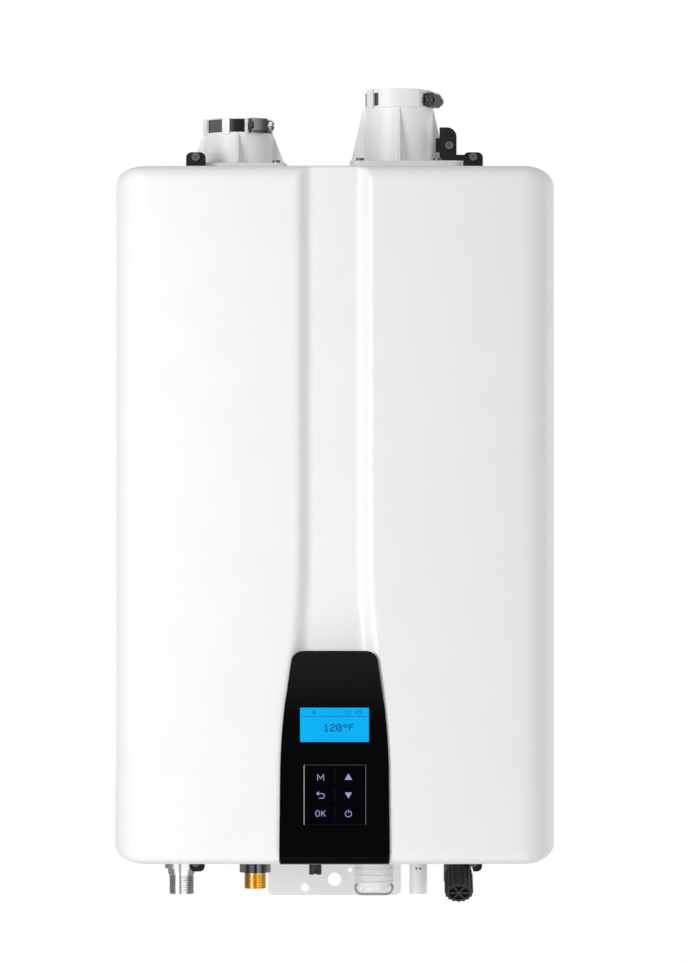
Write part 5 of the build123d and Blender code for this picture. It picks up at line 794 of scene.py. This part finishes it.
def ribbon(lines, width):
    """Flat strokes along front view lines, as points and faces; a closed line repeats its first point."""
    corners, quads = [], []
    for line in lines:
        base = len(corners)
        count = len(line)
        closed = line[0] == line[-1]
        for k, (x, z) in enumerate(line):
            before = line[k - 1] if k else (line[-2] if closed else line[0])
            after = line[k + 1] if k < count - 1 else (line[1] if closed else line[-1])
            a = Vector((x - before[0], z - before[1]))
            b = Vector((after[0] - x, after[1] - z))
            if a.length < 1e-9:
                a = b.copy()
            if b.length < 1e-9:
                b = a.copy()
            a.normalize()
            b.normalize()
            along = (a + b).normalized() if (a + b).length > 1e-6 else a
            side = Vector((-along.y, along.x))
            reach = width / 2 / max(abs(side.dot(Vector((-a.y, a.x)))), MITRE_LIMIT)
            corners.append((x + side.x * reach, z + side.y * reach))
            corners.append((x - side.x * reach, z - side.y * reach))
        for k in range(count - 1):
            i = base + 2 * k
            quads.append((i, i + 1, i + 3, i + 2))
    return corners, quads


def flat_layer(name, shapes, y, ink, body):
    """A thin flat layer in front of a face, of printed ink, painted highlight or painted shade: shapes are
    flat points and faces in the front view.
    """
    points, faces = [], []
    for corners, polygons in shapes:
        base = len(points)
        count = len(corners)
        points += [(x, y, z) for x, z in corners] + [(x, y - INK_T, z) for x, z in corners]
        for polygon in polygons:
            low = [base + k for k in polygon]
            faces.append(tuple(low[::-1]))
            faces.append(tuple(k + count for k in low))
            for first, second in zip(low, low[1:] + low[:1]):
                faces.append((first, second, second + count, first + count))
    mesh = bpy.data.meshes.new(name)
    mesh.from_pydata(points, [], faces)
    mesh.materials.append(ink)
    tidy_mesh(mesh, smooth=40)
    piece = show(name, mesh)
    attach(piece, body)


def on_key(key, points):
    """Front view places of sign points given in millimetres about a key's middle."""
    low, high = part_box("key_" + key)
    return [((low[0] + high[0]) / 2 + x * MM, (low[2] + high[2]) / 2 + z * MM) for x, z in points]


o_line = [(1.9 * math.sin(a) - 3.0, 2.9 * math.cos(a)) for a in np.linspace(0, 2 * math.pi, 25)]
o_line[-1] = o_line[0]
k_lines = [[(1.0, 2.9), (1.0, -2.9)], [(4.6, 2.9), (1.3, -0.4)], [(2.3, 0.5), (4.8, -2.9)]]
m_line = [(-3.0, -3.4), (-3.0, 2.4), (0.0, -1.4), (3.0, 2.4), (3.0, -3.4)]
power_arc = [(3.1 * math.sin(a), 3.1 * math.cos(a) - 0.2) for a in np.linspace(0.42, 2 * math.pi - 0.42, 25)]
hook_arc = [(1.6 + 2.3 * math.sin(a), -0.6 + 2.3 * math.cos(a)) for a in np.linspace(0.3, math.pi, 10)]
hook = [(-2.4, 1.7), (1.6, 1.7)] + hook_arc + [(-1.6, -2.9)]
signs = {
    "mode": [ribbon([on_key("mode", m_line)], M_STROKE)],
    "back": [
        ribbon([on_key("back", hook)], SIGN_STROKE),
        (on_key("back", [(-4.4, 1.7), (-1.7, 4.0), (-1.7, -0.6)]), [(0, 2, 1)]),
    ],
    "ok": [
        ribbon([on_key("ok", o_line)], SIGN_STROKE),
        ribbon([on_key("ok", line) for line in k_lines], SIGN_STROKE),
    ],
    "up": [(on_key("up", [(-3.8, -2.8), (3.8, -2.8), (0.0, 3.4)]), [(0, 1, 2)])],
    "down": [(on_key("down", [(-3.6, 2.8), (3.6, 2.8), (0.0, -3.2)]), [(0, 2, 1)])],
    "power": [
        ribbon([on_key("power", power_arc)], SIGN_STROKE),
        ribbon([on_key("power", [(0.0, 3.8), (0.0, 0.3)])], SIGN_STROKE),
    ],
}
for key, shapes in signs.items():
    key_face_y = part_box("key_" + key)[0][1]
    flat_layer("sign_" + key, shapes, key_face_y - INK_GAP, sign_ink, key + "_key")
# The plate's edge highlight is painted: a glowing stroke along each side, each side at its own brightness.
plate_highlight_lines = {
    "left": [(LINE_LEFT, LINE_LOW), (LINE_LEFT, LINE_HIGH)],
    "right": [(LINE_RIGHT, LINE_LOW), (LINE_RIGHT, LINE_HIGH)],
    "top": [(LINE_LEFT + LINE_END, LINE_HIGH), (LINE_RIGHT - LINE_END, LINE_HIGH)],
    "bottom": [(LINE_LEFT + LINE_END, LINE_LOW), (LINE_RIGHT - LINE_END, LINE_LOW)],
}
for (side, line), ink in zip(plate_highlight_lines.items(), edge_highlight_paints):
    shapes = [ribbon([line], LINE_STROKE)]
    flat_layer("key_plate_painted_highlight_" + side, shapes, PANEL_FACE_Y - INK_GAP, ink, "heater")

# Display module and boards, behind the panel's face and in the control box: the display sits
# in a pale moulded frame, and both boards are laminate under green lacquer.
module_white = finish_of("module frame plastic", (214, 216, 214), (222, 223, 221), (0.5, 0.6), 70.0)
dress(module_white, "display_module")
board_green = finish_of("green lacquered board", (18, 74, 44), (26, 92, 54), (0.35, 0.5), 260.0, coat=0.3)
dress(board_green, "panel_board", "control_board")

# Rear case, cross rail and brackets: sheet steel, folded and powder coated white. The two wall plates get a
# paler white as painted light, to lift them out of the case's shade. A foam strip on the case's front lip
# seals the cover.
case_paint = finish_of("white powder coat on the case", (222, 223, 223), (228, 228, 227), (0.42, 0.5), 30.0,
                       bump=0.12)
dress(case_paint, "rear_case", "cross_rail")
# The plates' paler white is painted light against the shade that the case casts on them.
plate_paint_lightened = finish_of("coated plate lightened as painted light", (245, 246, 247), (251, 252, 253), (0.4, 0.5), 24.0, bump=0.1)
dress(plate_paint_lightened, "wall_bracket", "lower_bracket")
foam = finish_of("closed cell foam", (52, 52, 54), (66, 66, 68), (0.8, 0.95), 900.0, bump=0.8)
dress(foam, "case_gasket")

# Lugs: small folded brackets of black coated steel on the cover and on the case, and a lock plate
# on the exhaust collar's base. Grey passivated screws go through them.
black_coat = finish_of("black coated steel", (3, 3, 4), (8, 8, 9), (0.4, 0.55), 140.0, bump=0.2,
                       soft_edge=0.0004, shine=0.25)
dress(black_coat, "cover_lugs", "case_lugs", "lock_plate")
screw_grey = finish_of("passivated screw steel", (66, 66, 65), (112, 112, 110), (0.3, 0.45), 380.0, metal=0.9,
                       soft_edge=0.0003)
dress(screw_grey, "cover_screws", "case_screws")

# Vent collars: sockets moulded in white plastic with ribs, on rubber gaskets on the case's roof.
# Each is closed on the pipe by a steel band with a worm screw, and the intake has a grey moulded
# filter below it.
collar_white = finish_of("white moulded collar", (236, 236, 235), (243, 243, 242), (0.36, 0.46), 45.0,
                         bump=0.1, soft_edge=0.0006)
dress(collar_white, "exhaust_collar", "intake_collar")
rubber = finish_of("grey seal rubber", (96, 97, 98), (112, 112, 113), (0.75, 0.9), 500.0, bump=0.5)
dress(rubber, "collar_gaskets")


def tone_ramp(tree, tones):
    """Colour ramp through tones, each a place from 0 to 1 and its screen colour."""
    ramp = tree.nodes.new("ShaderNodeValToRGB")
    stops = ramp.color_ramp.elements
    for stop, (place, colour) in zip(stops, (tones[0], tones[-1])):
        stop.position, stop.color = place, linear(*colour)
    for place, colour in tones[1:-1]:
        stops.new(place).color = linear(*colour)
    return ramp


def bare_metal(tree, shader, place, scale, rough):
    """Metal whose gloss wanders between two roughness values."""
    cloud = tree.nodes.new("ShaderNodeTexNoise")
    cloud.inputs["Scale"].default_value = scale
    gloss = tree.nodes.new("ShaderNodeMapRange")
    gloss.inputs["To Min"].default_value = rough[0]
    gloss.inputs["To Max"].default_value = rough[1]
    wire(tree, [
        (place, "Object", cloud, "Vector"),
        (cloud, "Fac", gloss, "Value"),
        (gloss, "Result", shader, "Roughness"),
    ])
    shader.inputs["Metallic"].default_value = 1.0


def steel_with_painted_reflections(name, tones, rough):
    """Bright rolled steel with painted reflections and shade: its grey changes from left to right; tones are
    (x, grey).
    """
    material, tree, shader, place = new_finish(name)
    left, right = tones[0][0], tones[-1][0]
    parts = tree.nodes.new("ShaderNodeSeparateXYZ")
    across = tree.nodes.new("ShaderNodeMapRange")
    across.inputs["From Min"].default_value = left
    across.inputs["From Max"].default_value = right
    ramp = tone_ramp(tree, [((x - left) / (right - left), (grey, grey, grey)) for x, grey in tones])
    wire(tree, [
        (place, "Object", parts, "Vector"),
        (parts, "X", across, "Value"),
        (across, "Result", ramp, "Fac"),
        (ramp, "Color", shader, "Base Color"),
    ])
    bare_metal(tree, shader, place, 700.0, rough)
    return material


# The bands' and the worm screws' light and dark greys are painted reflections and painted shade, set along x.
band_painted_reflections = [
    (-0.141, 110), (-0.116, 84), (-0.108, 44), (-0.0905, 34), (-0.0885, 166), (-0.0825, 142),
    (-0.0770, 116), (-0.0735, 76), (-0.0690, 60),
    (0.030, 64), (0.080, 130), (0.0865, 204), (0.0925, 190), (0.0950, 32), (0.112, 28),
]
dress(steel_with_painted_reflections("rolled band steel with painted reflections", band_painted_reflections, (0.2, 0.34)), "clamp_bands")
screw_painted_reflections = [
    (-0.092, 60), (-0.080, 110), (-0.0700, 232), (-0.0655, 238), (-0.0640, 120), (-0.0600, 90),
    (0.090, 60), (0.098, 24), (0.112, 74),
]
worm_steel = steel_with_painted_reflections("worm screw steel with painted reflections", screw_painted_reflections, (0.2, 0.34))
dress(worm_steel, "intake_clamp_screw", "exhaust_clamp_screw")
filter_grey = finish_of("grey filter frame", (120, 122, 124), (136, 138, 139), (0.55, 0.7), 120.0)
dress(filter_grey, "air_filter")

# Heat exchangers and burner: boxes pressed from stainless sheet under a cast aluminium burner head
# with a ceramic igniter. The flue duct above and the condensate tray below are grey plastic.
stainless = finish_of("pressed stainless steel", (150, 150, 150), (190, 190, 188), (0.28, 0.42), 10.0,
                      (1, 1, 14), metal=0.95, bump=0.1)
dress(stainless, "secondary_exchanger", "primary_exchanger")
cast_grey = finish_of("cast aluminium", (150, 152, 154), (178, 179, 181), (0.45, 0.62), 420.0, metal=0.8,
                      bump=0.6)
dress(cast_grey, "burner_head")
duct_grey = finish_of("grey flue plastic", (128, 130, 132), (140, 142, 143), (0.5, 0.6), 60.0)
dress(duct_grey, "flue_duct", "condensate_tray")
ceramic = finish_of("igniter ceramic", (225, 222, 214), (238, 235, 228), (0.3, 0.42), 80.0)
dress(ceramic, "igniter")

# Fan, venturi and gas valve: bodies cast in aluminium. The fan's wheel is black plastic on the shaft
# of a black motor, and a pale plastic flap turns in the venturi's bore.
dress(cast_grey, "fan_housing", "venturi_body", "gas_valve")
wheel_black = finish_of("black moulded plastic", (24, 25, 27), (34, 35, 37), (0.45, 0.6), 200.0)
dress(wheel_black, "fan_impeller")
motor_black = finish_of("black motor shell", (20, 20, 22), (30, 30, 32), (0.3, 0.42), 110.0, metal=0.3)
dress(motor_black, "fan_motor")
flap_grey = finish_of("pale flap plastic", (196, 198, 199), (206, 208, 208), (0.4, 0.5), 90.0)
dress(flap_grey, "damper_flap")

# Pipes, flow sensor and water valve: pipes bent from drawn copper tube between grey moulded bodies.
# The sensor's turbine is black plastic.
copper = finish_of("drawn copper", (178, 98, 62), (206, 126, 84), (0.24, 0.4), 60.0, (1, 1, 0.2), metal=1.0)
dress(copper, "hot_pipe", "cold_pipe", "gas_pipe")
valve_grey = finish_of("grey valve plastic", (150, 152, 154), (162, 164, 165), (0.42, 0.55), 80.0)
dress(valve_grey, "flow_sensor", "water_valve")
dress(wheel_black, "flow_turbine")

# Control box and harness: a white coated box on the cross rail, and one loom of wires
# in a black woven sleeve up to the fan's motor.
dress(case_paint, "control_box")
wire_black = finish_of("black woven sleeve", (18, 18, 19), (40, 40, 42), (0.6, 0.8), 1600.0, bump=0.9)
dress(wire_black, "wiring_harness")

# Hot outlet: nickel plated brass, turned, with a six sided collar and a threaded stub under the case.
# Polished round metal shows its surroundings as upright light and dark bands, drawn in the finish.
PIPE_THREAD_PITCH = 0.0018142
HOT_MIDDLE = (-0.1578, -0.180)


def metal_with_painted_reflections(name, middle, bands, rough):
    """Turned metal with painted reflections: its tone changes round an upright axis; bands are (share of a
    turn, colour).
    """
    material, tree, shader, place = new_finish(name)
    about = tree.nodes.new("ShaderNodeVectorMath")
    about.operation = "SUBTRACT"
    about.inputs[1].default_value = (*middle, 0.0)
    parts = tree.nodes.new("ShaderNodeSeparateXYZ")
    angle = tree.nodes.new("ShaderNodeMath")
    angle.operation = "ARCTAN2"
    turn = tree.nodes.new("ShaderNodeMapRange")
    turn.inputs["From Min"].default_value = -math.pi
    turn.inputs["From Max"].default_value = math.pi
    ramp = tone_ramp(tree, bands)
    ramp.color_ramp.interpolation = "EASE"
    wire(tree, [
        (place, "Object", about, 0),
        (about, "Vector", parts, "Vector"),
        (parts, "Y", angle, 0),
        (parts, "X", angle, 1),
        (angle, "Value", turn, "Value"),
        (turn, "Result", ramp, "Fac"),
        (ramp, "Color", shader, "Base Color"),
    ])
    bare_metal(tree, shader, place, 260.0, rough)
    return material


def thread_nodes(material):
    """Nodes: a ridge that winds up an upright stub, its profile a small diamond."""
    group, start = new_tree(
        "ridge winding up a stub", ["Root radius", "Ridge height", "Pitch", "Length"], ["Low end"]
    )
    turns = group.nodes.new("ShaderNodeMath")
    turns.operation = "DIVIDE"
    winding = group.nodes.new("GeometryNodeCurveSpiral")
    winding.inputs["Resolution"].default_value = 48
    upright = group.nodes.new("GeometryNodeSetCurveNormal")
    upright.mode = "Z_UP"
    profile = group.nodes.new("GeometryNodeCurvePrimitiveCircle")
    profile.inputs["Resolution"].default_value = 4
    ridge = group.nodes.new("GeometryNodeCurveToMesh")
    ridge.inputs["Fill Caps"].default_value = True
    placed = group.nodes.new("GeometryNodeTransform")
    wire(group, [
        (start, "Length", turns, 0),
        (start, "Pitch", turns, 1),
        (turns, "Value", winding, "Rotations"),
        (start, "Root radius", winding, "Start Radius"),
        (start, "Root radius", winding, "End Radius"),
        (start, "Length", winding, "Height"),
        (winding, "Curve", upright, "Curve"),
        (start, "Ridge height", profile, "Radius"),
        (upright, "Curve", ridge, "Curve"),
        (profile, "Curve", ridge, "Profile Curve"),
        (ridge, "Mesh", placed, "Geometry"),
        (start, "Low end", placed, "Translation"),
    ])
    end_tree(group, placed, "Geometry", material)
    return group


def threaded(node, middle, material, crest, height, high_z):
    """A fitting whose stub is turned down to the thread's root, with the thread wound on it."""
    mesh, work = cad_copy(node + "_turned", node)
    low_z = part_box(node)[0][2]
    root = crest - height
    for vertex in work.verts:
        x, y = vertex.co.x - middle[0], vertex.co.y - middle[1]
        reach = math.hypot(x, y)
        if vertex.co.z < high_z + 0.0001 and root < reach < crest + 0.0001:
            vertex.co.x = middle[0] + x * root / reach
            vertex.co.y = middle[1] + y * root / reach
    stand_in(node + "_turned", mesh, work, material, node, smooth=30)
    inputs = {
        "Root radius": root,
        "Ridge height": height,
        "Pitch": PIPE_THREAD_PITCH,
        "Length": high_z - low_z - 2 * height,
        "Low end": (*middle, low_z + height),
    }
    grow_on_points(node + "_thread", [(*middle, low_z)], thread_nodes(material), inputs)


nickel_painted_reflections = [
    (0.00, (110, 112, 112)), (0.155, (130, 132, 132)), (0.19, (246, 247, 247)), (0.215, (245, 246, 246)),
    (0.24, (150, 152, 152)), (0.265, (246, 247, 247)), (0.315, (244, 245, 245)), (0.36, (140, 142, 141)),
    (0.50, (110, 112, 112)), (0.62, (205, 206, 206)), (0.76, (120, 122, 122)), (1.00, (110, 112, 112)),
]
nickel = metal_with_painted_reflections("nickel plated brass", HOT_MIDDLE, nickel_painted_reflections, (0.16, 0.26))
threaded("hot_outlet_fitting", HOT_MIDDLE, nickel,
         crest=0.0131, height=0.0007, high_z=-0.7330)

# Gas inlet: plain turned brass with a threaded stub under the case.
# A dark plated nut holds it.
GAS_MIDDLE = (-0.0818, -0.180)
# Like the nickel, the brass gets upright bands of painted reflection, and the dark nut's light bands are
# painted highlights on its flats.
brass_painted_reflections = [
    (0.00, (150, 104, 36)), (0.15, (170, 118, 46)), (0.20, (252, 188, 104)), (0.255, (190, 130, 28)),
    (0.29, (252, 198, 66)), (0.35, (250, 196, 62)), (0.39, (180, 126, 32)), (0.60, (238, 184, 84)),
    (0.76, (150, 104, 36)), (1.00, (150, 104, 36)),
]
brass = metal_with_painted_reflections("turned brass", GAS_MIDDLE, brass_painted_reflections, (0.18, 0.3))
threaded("gas_inlet_fitting", GAS_MIDDLE, brass,
         crest=0.0115, height=0.0006, high_z=-0.7313)
nut_painted_highlights = [
    (0.00, (84, 84, 86)), (0.10, (92, 92, 94)), (0.16, (26, 26, 27)), (0.22, (100, 100, 106)),
    (0.26, (26, 26, 28)), (0.29, (128, 128, 136)), (0.34, (22, 22, 23)), (0.48, (112, 112, 118)),
    (0.70, (40, 40, 42)), (1.00, (84, 84, 86)),
]
dress(metal_with_painted_reflections("dark plated nut", GAS_MIDDLE, nut_painted_highlights, (0.28, 0.4)), "gas_lock_nut")

# Cold inlet: a black moulded housing, mostly hidden behind the ribbed cap of its filter branch.
# A pale plastic mesh strainer sits inside; the cable gland beside them is the same black plastic.
cap_black = finish_of("black moulded cap", (9, 9, 10), (18, 18, 19), (0.4, 0.55), 160.0, soft_edge=0.0004)
dress(cap_black, "filter_cap", "cable_gland", "inlet_housing")
strainer_white = finish_of("pale strainer plastic", (214, 216, 214), (226, 227, 225), (0.45, 0.55), 80.0)
dress(strainer_white, "filter_strainer")

# Condensate trap and drain tube, both moulded in white plastic under the case.
# The trap has a bail of grey spring wire, and the tube's two small air holes are dark discs of painted shade
# on its face.
(_, TUBE_FRONT_Y, _), (TUBE_RIGHT, _, _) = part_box("condensate_tube")
TUBE_R, DISC_GAP = 0.009, 0.0002
AIR_HOLE_Z, AIR_HOLE_R, AIR_HOLE_OFF = -0.7258, 0.0011, 0.0019
AIR_HOLE_SIDES = 12
trap_white = finish_of("white moulded trap", (245, 245, 245), (251, 251, 251), (0.35, 0.45), 60.0,
                       soft_edge=0.0005)
dress(trap_white, "condensate_trap")
wire_grey = finish_of("grey spring wire", (128, 129, 130), (160, 161, 162), (0.3, 0.42), 500.0, metal=0.8)
dress(wire_grey, "trap_bail")
tube_white = finish_of("pale drain tube", (240, 241, 242), (248, 249, 250), (0.35, 0.45), 60.0)
dress(tube_white, "condensate_tube")
vent_dark = finish_of("shadow in the tube's air holes", (44, 45, 46), (66, 67, 68), (0.7, 0.85), 800.0)
discs = []
for hole_x in (TUBE_RIGHT - TUBE_R - AIR_HOLE_OFF, TUBE_RIGHT - TUBE_R + AIR_HOLE_OFF):
    turns = np.linspace(0, 2 * math.pi, AIR_HOLE_SIDES + 1)[:-1]
    edge = [(hole_x + AIR_HOLE_R * math.cos(a), AIR_HOLE_Z + AIR_HOLE_R * math.sin(a)) for a in turns]
    discs.append((edge, [tuple(range(AIR_HOLE_SIDES))]))
flat_layer("tube_air_holes", discs, TUBE_FRONT_Y - DISC_GAP, vent_dark, "heater")
